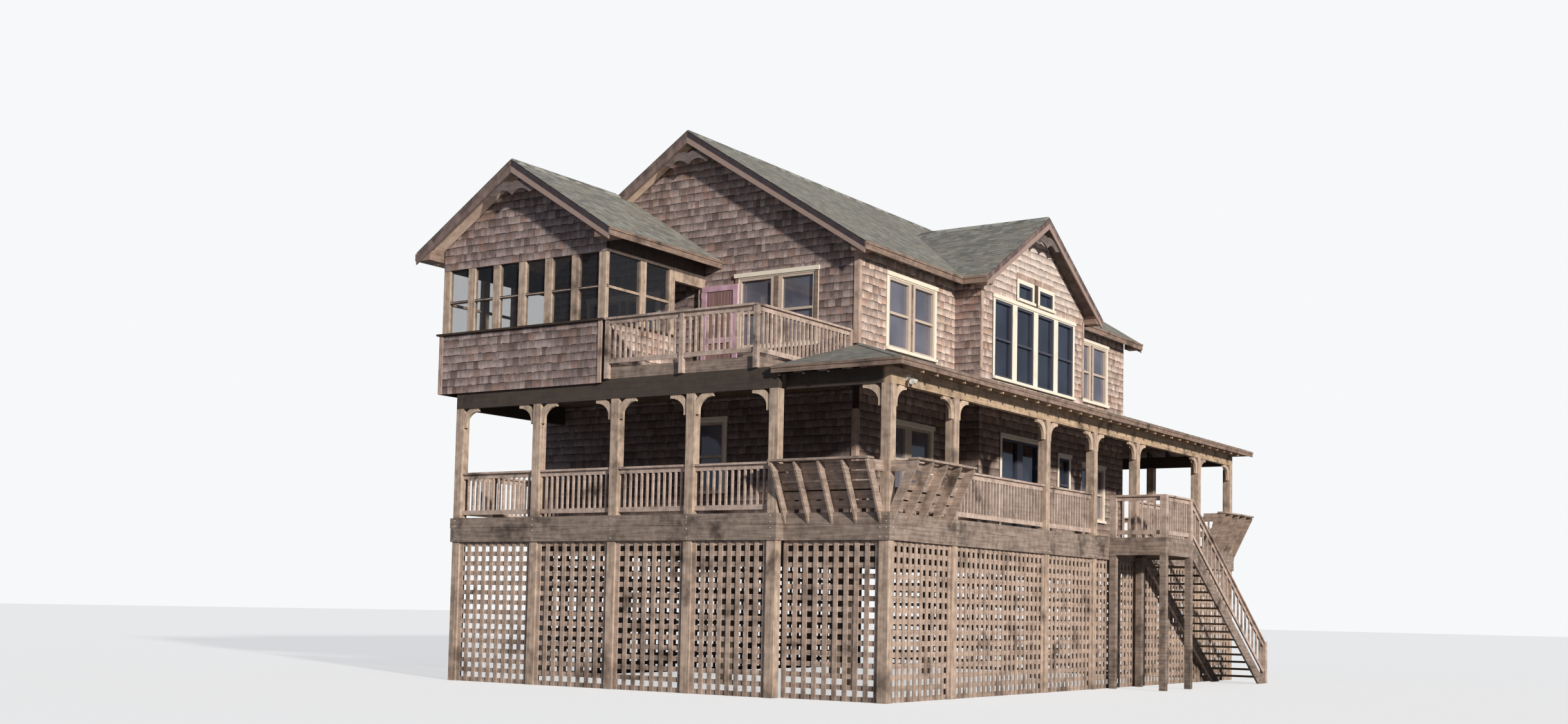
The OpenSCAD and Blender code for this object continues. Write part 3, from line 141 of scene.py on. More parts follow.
def noise(at, scale, detail, rough):
    return at.node("ShaderNodeTexNoise",
                   values={"Vector": at, "Scale": scale, "Detail": detail, "Roughness": rough})


def patches(at, s):
    # soft patches, by the settings of a look
    return noise(at, *s["patch"]).range(*s["patchAt"])


def dress(mat, sockets, colour, height, strength, reach):
    # the material's colour and bump
    colour.to(sockets["Base Color"])
    height.node("ShaderNodeBump", values={"Height": height, "Strength": strength,
                                          "Distance": reach}).to(sockets["Normal"])
    return mat


# light, dark and stain colours of each timber as on a screen, and the way its grain runs
timberLooks = {
    "post": ((214, 190, 171), (148, 128, 114), (98, 85, 77), "up"),
    "upright": ((212, 189, 170), (156, 135, 120), (98, 84, 74), "up"),
    "rail": ((218, 195, 182), (158, 138, 127), (88, 75, 67), "both"),
    "beam": ((216, 188, 160), (162, 138, 114), (56, 50, 49), "along"),
    "rim": ((170, 152, 140), (114, 99, 91), (62, 54, 49), "along"),
    "trim": ((166, 142, 128), (116, 97, 87), (74, 63, 58), "along"),
    "corner": ((212, 186, 170), (158, 134, 122), (112, 94, 86), "up"),
    "lattice": ((206, 183, 168), (150, 130, 118), (92, 78, 69), "both"),
    "bench": ((196, 174, 160), (136, 118, 107), (80, 68, 60), "along"),
    "scallop": ((138, 124, 120), (100, 88, 86), (74, 65, 64), "along"),
    "deck": ((150, 134, 114), (108, 94, 78), (66, 56, 48), "deck"),
    "bracket": ((226, 202, 180), (172, 150, 132), (108, 92, 78), "up"),
}

# scales of the grain, scale, detail and roughness of each noise, their spreads and shares, where stains and
# damp begin and end, and strength and reach of the bump; the looks below are laid out the same way
timberGrain = {
    "long": 0.9, "fine": 26, "deckLong": 1.1, "deckFine": 28, "deckUp": 4, "grain": (1.0, 4, 0.6),
    "fineSpread": 0.18, "fineShare": 0.55, "board": (7.0, 2, 0.5), "boardShare": 0.45, "patch": (1.7, 3, 0.6),
    "spread": 0.2, "stained": (0.5, 0.78), "darkening": (0.0, 0.9), "dirt": 0.7, "rough": 0.92, "worn": 0.18,
    "bump": (0.5, 0.006),
}


def grain(x, y, z, run):
    g = timberGrain
    if run == "both":
        return (grain(x, y, z, "up") + grain(x, y, z, "along")) * 0.5
    if run == "up":
        at = combine(x * g["fine"], y * g["fine"], z * g["long"])
    elif run == "along":
        at = combine((x + y) * g["long"], (x - y) * g["long"], z * g["fine"])
    else:
        at = combine(x * g["deckLong"], y * g["deckFine"], z * g["deckUp"])
    return noise(at, *g["grain"])


# marks on one timber alone: a mask rises between two numbers and falls between the next two
screenMarks = {
    "header": (8.44, 8.47), "darkening": 0.85, "shade": (52, 47, 50), "bar": 7.787,
    "barEdge": (0.008, 0.011, 0.024, 0.026), "barFront": (-9.092, -9.088, -9.01, -9.0),
}
deckMarks = {"pitch": 0.14, "joint": (0.462, 0.484), "depth": 0.85}
paintedSunOnTrim = {"side": (-4.096, -4.092, -4.08, -4.06), "front": (-9.11, -9.10), "pale": (250, 232, 206)}
frontBeamShade = {"corner": (6.40, 6.50), "depth": 0.92}


def markScreens(x, y, z, colour, dirt):
    # the header under the eaves is painted dark with shade, and the bars across the front screens are pale
    # between dark edges
    m = screenMarks
    colour = (z.range(*m["header"]) * m["darkening"]).mix(colour, m["shade"])
    edge = (z - m["bar"]).size().band(*m["barEdge"]) * y.band(*m["barFront"])
    return edge.mix(colour, m["shade"]), dirt


def markDeck(x, y, z, colour, dirt):
    # dark joints between the boards
    m = deckMarks
    joint = ((y * (1 / m["pitch"])).rest() - 0.5).size().range(*m["joint"])
    return colour, (dirt + joint * m["depth"]).clamp()


def paintSunOnTrim(x, y, z, colour, dirt):
    # the ends of the boxed eaves that face the sun are painted pale with sunlight
    m = paintedSunOnTrim
    return (x.band(*m["side"]) * (1.0 - y.range(*m["front"]))).mix(colour, m["pale"]), dirt


def paintFrontBeamShade(x, y, z, colour, dirt):
    # the beam that faces the front is painted much darker with shade than the one along the side
    m = frontBeamShade
    return colour, (dirt + (1.0 - x.range(*m["corner"])) * m["depth"]).clamp()


timberMarks = {"upright": markScreens, "deck": markDeck, "trim": paintSunOnTrim, "beam": paintFrontBeamShade}


def makeTimber(name, light, dark, stain, run):
    mat, sockets, at, x, y, z = newMaterial(name + "Timber")
    g = timberGrain
    fine, board, patch = grain(x, y, z, run), noise(at, *g["board"]), noise(at, *g["patch"])
    tone = fine.spread(g["fineSpread"]) * g["fineShare"]
    tone = (tone + board.spread(g["spread"]) * g["boardShare"]).clamp()
    colour = patch.range(*g["stained"]).mix(tone.mix(dark, light), stain)
    # damp and dirt gather near the ground
    dirt = (1.0 - z.range(*g["darkening"])) * patch.spread(g["spread"]) * g["dirt"]
    if name in timberMarks:
        colour, dirt = timberMarks[name](x, y, z, colour, dirt)
    (g["rough"] - tone * g["worn"]).to(sockets["Roughness"])
    return dress(mat, sockets, dirt.mix(colour, stain), fine, *g["bump"])


rakeLook = {
    "light": (138, 118, 112), "dark": (92, 78, 77), "shade": (58, 53, 60), "strip": (174, 150, 140),
    "band": (0.134, 0.150), "depth": 0.85, "screen": (-9.0, -8.9), "bay": (4.90, 4.95),
    "middle": (-0.01, 0.01), "scale": 4.0, "grain": (1.0, 4, 0.65), "spread": 0.18, "right": 0.6, "left": 0.2,
    "bump": (0.4, 0.004),
}


def makeRake(name):
    # the slopes that run down to the right carry a painted shadow under the roof's edge, with a paler strip
    # below
    mat, sockets, _, x, y, z = newMaterial(name)
    s = rakeLook
    fromMid = x - h["screenMid"]
    main = (h["ridge"] - z) - x.size() * h["rise"]
    screen = (h["screenRidge"] - z) - fromMid.size() * h["rise"]
    bay = (h["bayRidge"] - z) - (y - h["bayMid"]).size() * h["bayRise"]
    atScreen, atBay = 1.0 - y.range(*s["screen"]), x.range(*s["bay"])
    down = main * (1.0 - atScreen) * (1.0 - atBay) + screen * atScreen + bay * atBay
    right = x.range(*s["middle"]) * (1.0 - atScreen) + fromMid.range(*s["middle"]) * atScreen
    fine = noise(combine((x + y) * s["scale"], (x - y) * s["scale"], z * s["scale"]), *s["grain"])
    low = down.range(*s["band"])
    wood = fine.spread(s["spread"]).mix(s["dark"], s["light"])
    strip = (low * (right * s["right"] + s["left"])).mix(wood, s["strip"])
    # the dark band is painted shadow of the roof's edge
    band = (1.0 - low) * right * (1.0 - atBay) * s["depth"]
    return dress(mat, sockets, band.mix(strip, s["shade"]), fine, *s["bump"])


# screen colours of shingles: light, dark, red, stain, under the next lap (partly dirt and partly painted
# shadow), on the bay's gable, and painted shade under the porch roof; then how far the grain lifts the
# surface
cedarLooks = {
    "cedarShingles": ((255, 232, 219), (152, 126, 115), (198, 150, 124), (116, 98, 92), (50, 40, 37),
                      (252, 238, 228), (84, 74, 72), 0.004),
    "greyShingles": ((214, 192, 186), (108, 92, 92), (160, 124, 108), (84, 73, 74), (44, 37, 35),
                     (210, 192, 182), (84, 74, 72), 0.004),
    "wallSheathing": ((96, 80, 70), (60, 48, 42), (84, 66, 54), (48, 40, 36), (40, 32, 28),
                      (96, 80, 70), (60, 50, 46), 0.002),
}
# finish is roughness and shine; a pick is the key and the range that choose some of the shingles
cedarMarks = {
    "finish": (0.85, 0.2), "tone": 0.42, "streak": 0.3, "mottle": 0.28, "own": 19.0, "fineScale": 48,
    "fineLong": 5.0, "fineSpread": 0.16, "fineShare": 0.4, "broadScale": 15, "broadLong": 4.0,
    "broadSpread": 0.14, "broadShare": 0.6, "grain": (1.0, 3, 0.6), "blotch": (8.0, 4, 0.72),
    "blotchSpread": 0.16, "red": 0.55, "redPick": (7.31, 0.7, 0.9), "old": 0.5, "oldPick": (3.77, 0.82, 0.9),
    "worn": 0.3, "patch": (0.7, 3, 0.6), "patchAt": (0.5, 0.8), "porch": 0.45, "porchTop": (5.70, 5.86),
    "pale": 0.5, "bay": (4.60, 4.70), "gable": (8.4, 9.2), "lap": 0.5, "lapAt": (0.1, 1.0), "line": 0.4,
    "lineAt": (0.87, 0.93), "bump": 0.6,
}


def pick(tone, key, low, high):
    # a mask over some of the shingles, by another random number made of their tone
    return (tone * key).rest().range(low, high)


def makeShingle(name, light, dark, red, stain, lap, pale, porch, lift):
    # cedar shingles: each has its own tone, its own streaks, and a dark line under the next lap
    m = cedarMarks
    mat, sockets, at, x, y, z = newMaterial(name, *m["finish"])
    tone, rise = attribute(at, "tone"), attribute(at, "rise")
    own = tone * m["own"]
    along = x + y + own
    fine = noise(combine(along * m["fineScale"], own, z * m["fineLong"]), *m["grain"])
    broad = noise(combine(along * m["broadScale"], own, z * m["broadLong"]), *m["grain"])
    streak = fine.spread(m["fineSpread"]) * m["fineShare"] + broad.spread(m["broadSpread"]) * m["broadShare"]
    mottle = noise(at, *m["blotch"]).spread(m["blotchSpread"])
    base = (tone * m["tone"] + streak.clamp() * m["streak"] + mottle * m["mottle"]).clamp()
    colour = base.mix(dark, light)
    colour = (pick(tone, *m["redPick"]) * m["red"]).mix(colour, red)
    colour = (pick(tone, *m["oldPick"]) * m["old"]).mix(colour, stain)
    colour = (patches(at, m) * m["worn"]).mix(colour, stain)
    # the walls under the porch roof are painted with shade, the gable of the bay is bleached by the sun
    colour = ((1.0 - z.range(*m["porchTop"])) * m["porch"]).mix(colour, porch)
    colour = (x.range(*m["bay"]) * z.range(*m["gable"]) * m["pale"]).mix(colour, pale)
    # dirt thickens upward to a dark line under the next course, which is partly painted shadow of that
    # course's butt
    dirt = (rise.range(*m["lapAt"]) * m["lap"] + rise.range(*m["lineAt"]) * m["line"]).clamp()
    return dress(mat, sockets, dirt.mix(colour, lap), fine, m["bump"], lift)


roofLook = {
    "finish": (0.9, 0.25), "light": (176, 174, 165), "dark": (98, 98, 96), "warm": (152, 143, 126),
    "stain": (98, 97, 96), "lap": (66, 64, 60), "toneShare": 0.5, "grit": (190.0, 2, 0.7), "gritSpread": 0.2,
    "gritShare": 0.16, "speck": (34.0, 3, 0.7), "speckSpread": 0.14, "speckShare": 0.34, "warmth": 0.6,
    "warmPick": (5.7, 0.5, 0.9), "stains": 0.4, "patch": (0.55, 4, 0.6), "patchAt": (0.5, 0.8),
    "lapAt": (0.62, 0.96), "lineKey": 3.3, "lineMore": 0.65, "lineLeast": 0.15, "bump": (0.5, 0.004),
}


def makeRoofing(name):
    s = roofLook
    mat, sockets, at = newMaterial(name, *s["finish"])[:3]
    tone, rise = attribute(at, "tone"), attribute(at, "rise")
    grit, speck = noise(at, *s["grit"]), noise(at, *s["speck"])
    base = tone * s["toneShare"] + speck.spread(s["speckSpread"]) * s["speckShare"]
    base = (base + grit.spread(s["gritSpread"]) * s["gritShare"]).clamp()
    colour = base.mix(s["dark"], s["light"])
    colour = (pick(tone, *s["warmPick"]) * s["warmth"]).mix(colour, s["warm"])
    colour = (patches(at, s) * s["stains"]).mix(colour, s["stain"])
    # the dark line under the next course is painted shadow, strong on some tabs and faint on others
    line = rise.range(*s["lapAt"]) * ((tone * s["lineKey"]).rest() * s["lineMore"] + s["lineLeast"])
    return dress(mat, sockets, line.mix(colour, s["lap"]), grit, *s["bump"])


# boards of the eaves and soffits, and how far the shingles of the ridge cap reach
soffitLook = {
    "finish": (0.86, 0.25), "light": (246, 222, 204), "dark": (214, 188, 168), "shadeLight": (112, 97, 92),
    "shadeDark": (84, 73, 71), "cap": (0.150, 0.154), "middle": (-0.01, 0.01), "board": (5.0, 4, 0.65),
    "spread": 0.2, "tile": (3.4, 1, 0.5), "tileAt": (0.4, 0.6), "tileShare": 0.7, "gritShare": 0.3,
    "bump": (0.4, 0.003),
}


def makeRoofTimber(name, axis, mid):
    s = soffitLook
    mat, sockets, at, x, y = newMaterial(name, *s["finish"])[:5]
    off = (x if axis == "x" else y) - mid
    board = noise(at, *s["board"]).spread(s["spread"])
    unshaded, darkening = board.mix(s["dark"], s["light"]), board.mix(s["shadeDark"], s["shadeLight"])
    # painted shade: the soffits of the slopes that run down to the right are much darker
    wood = off.range(*s["middle"]).mix(unshaded, darkening)
    grit, tile = noise(at, *roofLook["grit"]), noise(at, *s["tile"])
    cover = (tile.range(*s["tileAt"]) * s["tileShare"] + grit.spread(s["spread"]) * s["gritShare"]).clamp()
    cap = 1.0 - off.size().range(*s["cap"])
    colour = cap.mix(wood, cover.mix(roofLook["dark"], roofLook["light"]))
    return dress(mat, sockets, colour, grit, *s["bump"])


# casings begin "from" to "to" in front of a wall; behindBay and inBay are distances behind the bay's face
paintLook = {
    "finish": (0.5, 0.4), "casing": (248, 238, 220), "dirt": (204, 190, 172), "sash": (206, 188, 174),
    "sashDirt": (158, 142, 132), "baySash": (74, 76, 90), "from": 0.018, "to": 0.022, "behindBay": (0.3, 0.2),
    "inBay": (0.15, 0.12), "patch": (3.1, 4, 0.65), "patchAt": (0.5, 0.85), "patchShare": 0.5, "wide": 18,
    "long": 1.1, "streak": (1.0, 3, 0.6), "streakAt": (0.55, 0.9), "streakShare": 0.25, "bump": (0.2, 0.002),
}


def makePaint(name):
    # clean cream casings, duller sashes behind them, and dark sashes in the bay
    s = paintLook
    mat, sockets, at, x, y, z = newMaterial(name, *s["finish"])
    a, b, wall, bay = s["from"], s["to"], h["wall"], h["wall"] + h["bayOut"]
    right = x.band(wall + a, wall + b, *(bay - v for v in s["behindBay"])) + x.range(bay + a, bay + b)
    left = 1.0 - x.range(-wall - b, -wall - a)
    front = 1.0 - y.range(h["frontWall"] - b, h["frontWall"] - a)
    casing = (right + left + (front + y.range(h["backWall"] + a, h["backWall"] + b))).clamp()
    streak = noise(combine(x * s["wide"], y * s["wide"], z * s["long"]), *s["streak"])
    worn = patches(at, s) * s["patchShare"]
    worn = (worn + streak.range(*s["streakAt"]) * s["streakShare"]).clamp()
    sash = worn.mix(s["sash"], s["sashDirt"])
    sash = x.range(*(bay - v for v in s["inBay"])).mix(sash, s["baySash"])
    colour = casing.mix(sash, worn.mix(s["casing"], s["dirt"]))
    return dress(mat, sockets, colour, streak, *s["bump"])


glassLook = {
    "finish": (0.06, 0.9), "paintedSky": ((92, 92, 104), (122, 120, 132)), "room": ((22, 27, 40), (48, 56, 72)),
    "bay": (4.60, 4.64), "patch": (0.8, 2, 0.5), "patchAt": (0.35, 0.7), "wave": (1.6, 1, 0.4),
    "bump": (0.15, 0.02), "coat": 0.8, "coatRough": 0.03,
}


def makeGlass(name):
    # the panes of the bay are painted the dark of the unlit room behind them, the others are painted pale
    # with a reflection of the sky
    s = glassLook
    mat, sockets, at, x = newMaterial(name, *s["finish"])[:4]
    patch = patches(at, s)
    colour = x.range(*s["bay"]).mix(patch.mix(*s["paintedSky"]), patch.mix(*s["room"]))
    sockets["Coat Weight"].default_value = s["coat"]
    sockets["Coat Roughness"].default_value = s["coatRough"]
    return dress(mat, sockets, colour, noise(at, *s["wave"]), *s["bump"])


meshLook = {
    "finish": (0.55, 0.3), "threads": ((40, 44, 52), (80, 84, 92)), "weave": (420.0, 1, 0.5), "spread": 0.2,
    "weaveAt": (0.35, 0.65), "veil": (0.14, 0.26),
}


def makeMesh(name):
    # the threads are closer than the eye can tell apart, so the mesh is a thin dark veil
    s = meshLook
    mat, sockets, at = newMaterial(name, *s["finish"])[:3]
    thread = noise(at, *s["weave"])
    thread.spread(s["spread"]).mix(*s["threads"]).to(sockets["Base Color"])
    thread.range(*s["weaveAt"], *s["veil"]).to(sockets["Alpha"])
    return mat


# the door's paint and bare wood, its middle, and where its panels begin and end
doorLook = {
    "finish": (0.6, 0.35), "paint": ((218, 180, 198), (182, 144, 164)),
    "wood": ((118, 92, 92), (164, 130, 126)), "mid": 0.762, "stile": (0.338, 0.346),
    "low": (6.300, 6.306, 7.062, 7.068), "high": (7.176, 7.182, 8.150, 8.156), "fine": 30, "long": 1.2,
    "grain": (1.0, 3, 0.55), "spread": 0.2, "patch": (4.0, 3, 0.55), "patchAt": (0.3, 0.75),
    "dents": (14.0, 3, 0.55), "bump": (0.25, 0.002),
}


def makeDoor(name):
    # faded pink frame with a bare brown lower and upper panel
    s = doorLook
    mat, sockets, at, x, y, z = newMaterial(name, *s["finish"])
    inner = 1.0 - (x - s["mid"]).size().range(*s["stile"])
    panel = (inner * (z.band(*s["low"]) + z.band(*s["high"]))).clamp()
    wood = noise(combine(x * s["fine"], y * s["fine"], z * s["long"]), *s["grain"]).spread(s["spread"])
    paint = patches(at, s)
    colour = panel.mix(paint.mix(*s["paint"]), wood.mix(*s["wood"]))
    return dress(mat, sockets, colour, noise(at, *s["dents"]), *s["bump"])


lampLook = {
    "finish": (0.4, 0.5), "metal": ((222, 220, 212), (150, 144, 134)), "patch": (16.0, 3, 0.55),
    "patchAt": (0.35, 0.8), "grain": (60.0, 2, 0.55), "bump": (0.15, 0.001),
}


def makeLampMetal(name):
    s = lampLook
    mat, sockets, at = newMaterial(name, *s["finish"])[:3]
    colour = patches(at, s).mix(*s["metal"])
    return dress(mat, sockets, colour, noise(at, *s["grain"]), *s["bump"])


timbers = {name: makeTimber(name, *look) for name, look in timberLooks.items()}
cedar, greyCedar, wallBack = (makeShingle(name, *look) for name, look in cedarLooks.items())
roofing = makeRoofing("roofShingles")
lampMetal = makeLampMetal("lampMetal")
print("materials made")

# every finish by a short name
finishes = {
    **timbers, "back": wallBack, "metal": lampMetal, "rake": makeRake("rakeTimber"),
    "screen": makeMesh("insectScreen"), "door": makeDoor("pinkDoorPaint"),
    "mainRoof": makeRoofTimber("mainRoofTimber", "x", 0.0),
    "bayRoof": makeRoofTimber("bayRoofTimber", "y", h["bayMid"]),
    "screenRoof": makeRoofTimber("screenRoofTimber", "x", h["screenMid"]),
    "paint": makePaint("whiteTrimPaint"), "glass": makeGlass("windowGlass"),
}
# the finish of each node, by the first of these words in its name
looks = {
    "railing": "rail", "lattice": "lattice", "bench": "bench", "wall": "back", "screen_posts": "upright",
    "posts": "post", "pilings": "post", "brackets": "bracket", "beams": "beam", "rafters": "beam",
    "rim": "rim", "main_floor": "rim", "landing": "rim", "stringers": "rim", "floor": "deck",
    "treads": "deck", "porch_roof": "trim", "fascia": "trim", "scalloped": "trim", "corner": "corner",
    "rake": "rake", "parapet": "back", "gable": "back", "screens": "screen", "door": "door",
    "main_roof": "mainRoof", "bay_roof": "bayRoof", "screen_roof": "screenRoof", "frames": "paint",
    "glass": "glass", "flood": "metal",
}
for name, obj in nodes.items():
    obj.data.materials.clear()
    obj.data.materials.append(next(finishes[look] for word, look in looks.items() if word in name))
print("frame dressed")

# wall shingles, with the smallest sizes that are still laid
shingles = {
    "course": 0.16, "narrow": 0.075, "wide": 0.20, "leftover": 0.6, "butt": 0.009, "vary": (0.75, 1.2),
    "tip": 0.26, "gap": 0.005, "uneven": 0.009, "skew": 0.005, "inset": 0.001, "leastStrip": 0.012,
    "leastWide": 0.006, "leastTall": 0.004, "samples": 41,
}
roofTab = {
    "course": 0.14, "narrow": 0.10, "wide": 0.24, "thin": 0.005, "thick": 0.009, "gap": 0.002, "least": 0.004,
    "leastRow": 0.01,
}


def faceOut(piece):
    # turn every face outward whichever way the piece was built
    bpy.ops.object.select_all(action="DESELECT")
    piece.select_set(True)
    bpy.context.view_layer.objects.active = piece
    bpy.ops.object.mode_set(mode="EDIT")
    bpy.ops.mesh.select_all(action="SELECT")
    bpy.ops.mesh.normals_make_consistent(inside=False)
    bpy.ops.object.mode_set(mode="OBJECT")
    piece.select_set(False)


def shapeOf(model):
    # corners and faces of a model that is copied many times; the model itself goes
    corners = np.array([v.co[:] for v in model.data.vertices])
    faces = [list(f.vertices) for f in model.data.polygons]
    bpy.data.objects.remove(model, do_unlink=True)
    return corners, faces


def newPiece(name, points, faces, mat, **marks):
    # a piece with a number for the shader at each of its points
    data = bpy.data.meshes.new(name)
    data.from_pydata(points, [], faces)
    for mark, values in marks.items():
        data.attributes.new(mark, "FLOAT", "POINT").data.foreach_set("value", values)
    data.update()
    data.materials.append(mat)
    piece = bpy.data.objects.new(name, data)
    bpy.context.collection.objects.link(piece)
    faceOut(piece)
    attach(piece, "root")
    return piece


def added(operator, **settings):
    # a new primitive, with nothing else selected
    bpy.ops.object.select_all(action="DESELECT")
    operator(**settings)
    return bpy.context.object


def unitTab(tip):
    # one shingle as wide, deep and tall as 1, with its front face leaning back to the tip
    tab = added(bpy.ops.mesh.primitive_cube_add, size=1, location=(0.5, 0.5, 0.5))
    bpy.ops.object.transform_apply(location=True, rotation=True, scale=True)
    for v in tab.data.vertices:
        v.select = v.co.y < 0.5 and v.co.z > 0.5
    bpy.context.tool_settings.mesh_select_mode = (True, False, False)
    bpy.ops.object.mode_set(mode="EDIT")
    bpy.ops.transform.translate(value=(0, 1 - tip, 0))
    bpy.ops.object.mode_set(mode="OBJECT")
    return shapeOf(tab)


tabShape, tabFaces = unitTab(shingles["tip"])


def layTabs(name, rows, put, mat):
    # a row gives the ends of the foot and of the head, the height of the foot, the heights of the
    # head at left and right, the thickness, the tone, and how far the foot is skewed
    footLeft, footRight, headLeft, headRight, foot, topLeft, topRight, thick, tone, skew = (
        column[:, None] for column in np.array(rows).T)
    u, d, v = tabShape[:, 0], 1 - tabShape[:, 1], tabShape[:, 2]
    low = footLeft * (1 - u) + footRight * u
    high = headLeft * (1 - u) + headRight * u
    top = topLeft * (1 - u) + topRight * u
    s = low * (1 - v) + high * v
    t = (foot + skew * (u - 0.5)) * (1 - v) + top * v
    points = put(s.ravel(), t.ravel(), (thick * d).ravel())
    count, corners = len(rows), len(tabShape)
    faces = (np.array(tabFaces) + corners * np.arange(count)[:, None, None]).reshape(-1, 4)
    return newPiece(name, points.tolist(), faces.tolist(), mat,
                    tone=np.repeat(tone, corners), rise=np.tile(v, count))


def freeSpans(low, high, holes, s0, s1):
    # stretches of one course that no opening cuts, each with its own lower and upper edge
    edges = sorted({s0, s1, *(e for hole in holes for e in hole[:2] if s0 <= e <= s1)})
    spans = []
    for a, b in zip(edges, edges[1:]):
        parts = [(low, high)]
        for left, right, foot, head in holes:
            if left < (a + b) / 2 < right:
                cut = []
                for p, q in parts:
                    if foot > p:
                        cut.append((p, min(q, foot)))
                    if head < q:
                        cut.append((max(p, head), q))
                parts = [c for c in cut if c[1] - c[0] > shingles["leastStrip"]]
        spans += [(a, b, p, q) for p, q in parts]
    merged = []
    for span in sorted(spans, key=lambda k: (k[2], k[3], k[0])):
        if merged and merged[-1][1] == span[0] and merged[-1][2:] == span[2:]:
            merged[-1] = (merged[-1][0], *span[1:])
        else:
            merged.append(span)
    return merged


def clad(name, put, s0, s1, base, top, holes, seed, mat):
    # courses of shingles on one wall: top gives its height at each place along it
    rng = random.Random(seed)
    c = shingles
    least, sliver = c["leastWide"], c["leastTall"]
    peak = max(top(s) for s in np.linspace(s0, s1, c["samples"]))
    rows = []
    z = base
    while z < peak:
        for a, b, low, high in freeSpans(z, z + c["course"], holes, s0, s1):
            s = a
            while s < b - sliver:
                wide = min(rng.uniform(c["narrow"], c["wide"]), b - s)
                if b - s - wide < c["narrow"] * c["leftover"]:
                    wide = b - s
                left, right = s + c["gap"] / 2, s + wide - c["gap"] / 2
                topLeft, topRight = min(high, top(left)), min(high, top(right))
                s += wide
                if right - left < least or max(topLeft, topRight) < low + least:
                    continue
                if min(topLeft, topRight) < low + sliver:
                    # the gable's slope crosses this shingle's foot: keep the part under the slope
                    cross = left + (right - left) * ((low + sliver - topLeft) / (topRight - topLeft))
                    if topLeft < topRight:
                        left, topLeft = cross, low + sliver
                    else:
                        right, topRight = cross, low + sliver
                    if right - left < least:
                        continue
                free = z > base and low == z
                drop = c["skew"] + rng.uniform(0, c["uneven"]) if free else 0
                skew = rng.uniform(-c["skew"], c["skew"]) if free else 0
                rows.append((left, right, left, right, low - drop, topLeft, topRight,
                             c["butt"] * rng.uniform(*c["vary"]), rng.random(), skew))
        z += c["course"]
    return layTabs(name, rows, put, mat)


def wallPlace(axis, face, turn):
    # s runs along the wall and z up it, out is away from its face
    def put(s, z, out):
        level = face + turn * (out - shingles["inset"])
        return np.stack([level, s, z] if axis == "x" else [s, level, z], 1)
    return put


# each window's middle, sill and head above the deck, and width
windows = {
    "front": [(2.115, 3.64, 5.08, 1.87), (0.52, 0.70, 2.13, 0.70), (-1.90, 2.924, 4.90, 1.85)],
    "rear": [(-2.2, 3.64, 5.08, 1.87), (2.2, 3.64, 5.08, 1.87), (-2.2, 0.70, 2.06, 1.87),
             (2.2, 0.062, 2.10, 1.87)],
    "rightFront": [(-3.755, 3.64, 5.08, 1.92), (-3.815, 0.70, 2.09, 1.92)],
    "rightRear": [(5.495, 3.69, 5.13, 1.87), (5.555, 0.70, 2.0, 1.5)],
    "left": [(y, z, z + 1.44, 1.87) for y in (-3.755, 0.88, 5.495) for z in (0.70, 3.64)],
    "bay": [(0.88, 3.46, 5.16, 4.118), (0.88, 5.36, 5.71, 1.786), (0.88, 5.72, 5.83, 1.786),
            (0.156, 0.062, 2.14, 1.85), (2.509, 0.70, 1.96, 0.56)],
}
casing = {"side": 0.09, "head": 0.11, "sill": 0.062}


def windowHoles(wall):
    # each window with its casing, as left, right, foot and top
    c, deck = casing, h["deck"]
    return [(mid - wide / 2 - c["side"], mid + wide / 2 + c["side"], deck + sill - c["sill"],
             deck + head + c["head"]) for mid, sill, head, wide in windows.get(wall, [])]


# where the shingles leave room for corner boards, for the floor of the balcony and under the eaves
wallEdge = {
    "foot": 0.004, "corner": 0.095, "floorBand": (-4.0, 3.96, 5.94, 6.165), "bayCorner": 0.17,
    "parapetLow": 5.872, "parapetHigh": 7.092, "parapetCorner": 0.1, "parapetRear": -6.905,
    "gableFoot": 8.468, "seed": 11,
}
w = wallEdge
foot, corner = h["deck"] + w["foot"], w["corner"]
front, back, wall, parapet = h["frontWall"], h["backWall"], h["wall"], h["parapetFace"]
rise, bayRise, bayMid, bayHalf, eave = (h[k] for k in ("rise", "bayRise", "bayMid", "bayHalf", "eave"))
under, bayUnder, screenUnder = (h[k] - h["roofDeep"] for k in ("ridge", "bayRidge", "screenRidge"))
bayLow, bayHigh, bayX = bayMid - bayHalf, bayMid + bayHalf, wall + h["bayOut"]
baySide = bayUnder - bayRise * bayHalf
bayCorners = [(bayLow, bayLow + corner, h["porchHigh"], baySide - w["bayCorner"]),
              (bayHigh - corner, bayHigh, h["porchHigh"], baySide - w["bayCorner"])]
otherHoles = {"front": [w["floorBand"]], "bay": bayCorners}


def gable(peak, rise, mid):
    return lambda s: peak - rise * abs(s - mid)


def flat(height):
    return lambda s: height


mainGable, sideTop = gable(under, rise, 0.0), flat(under - rise * wall)
bayGable, bayTop = gable(bayUnder, bayRise, bayMid), flat(baySide)
screenGable, parapetTop = gable(screenUnder, rise, h["screenMid"]), flat(w["parapetHigh"])
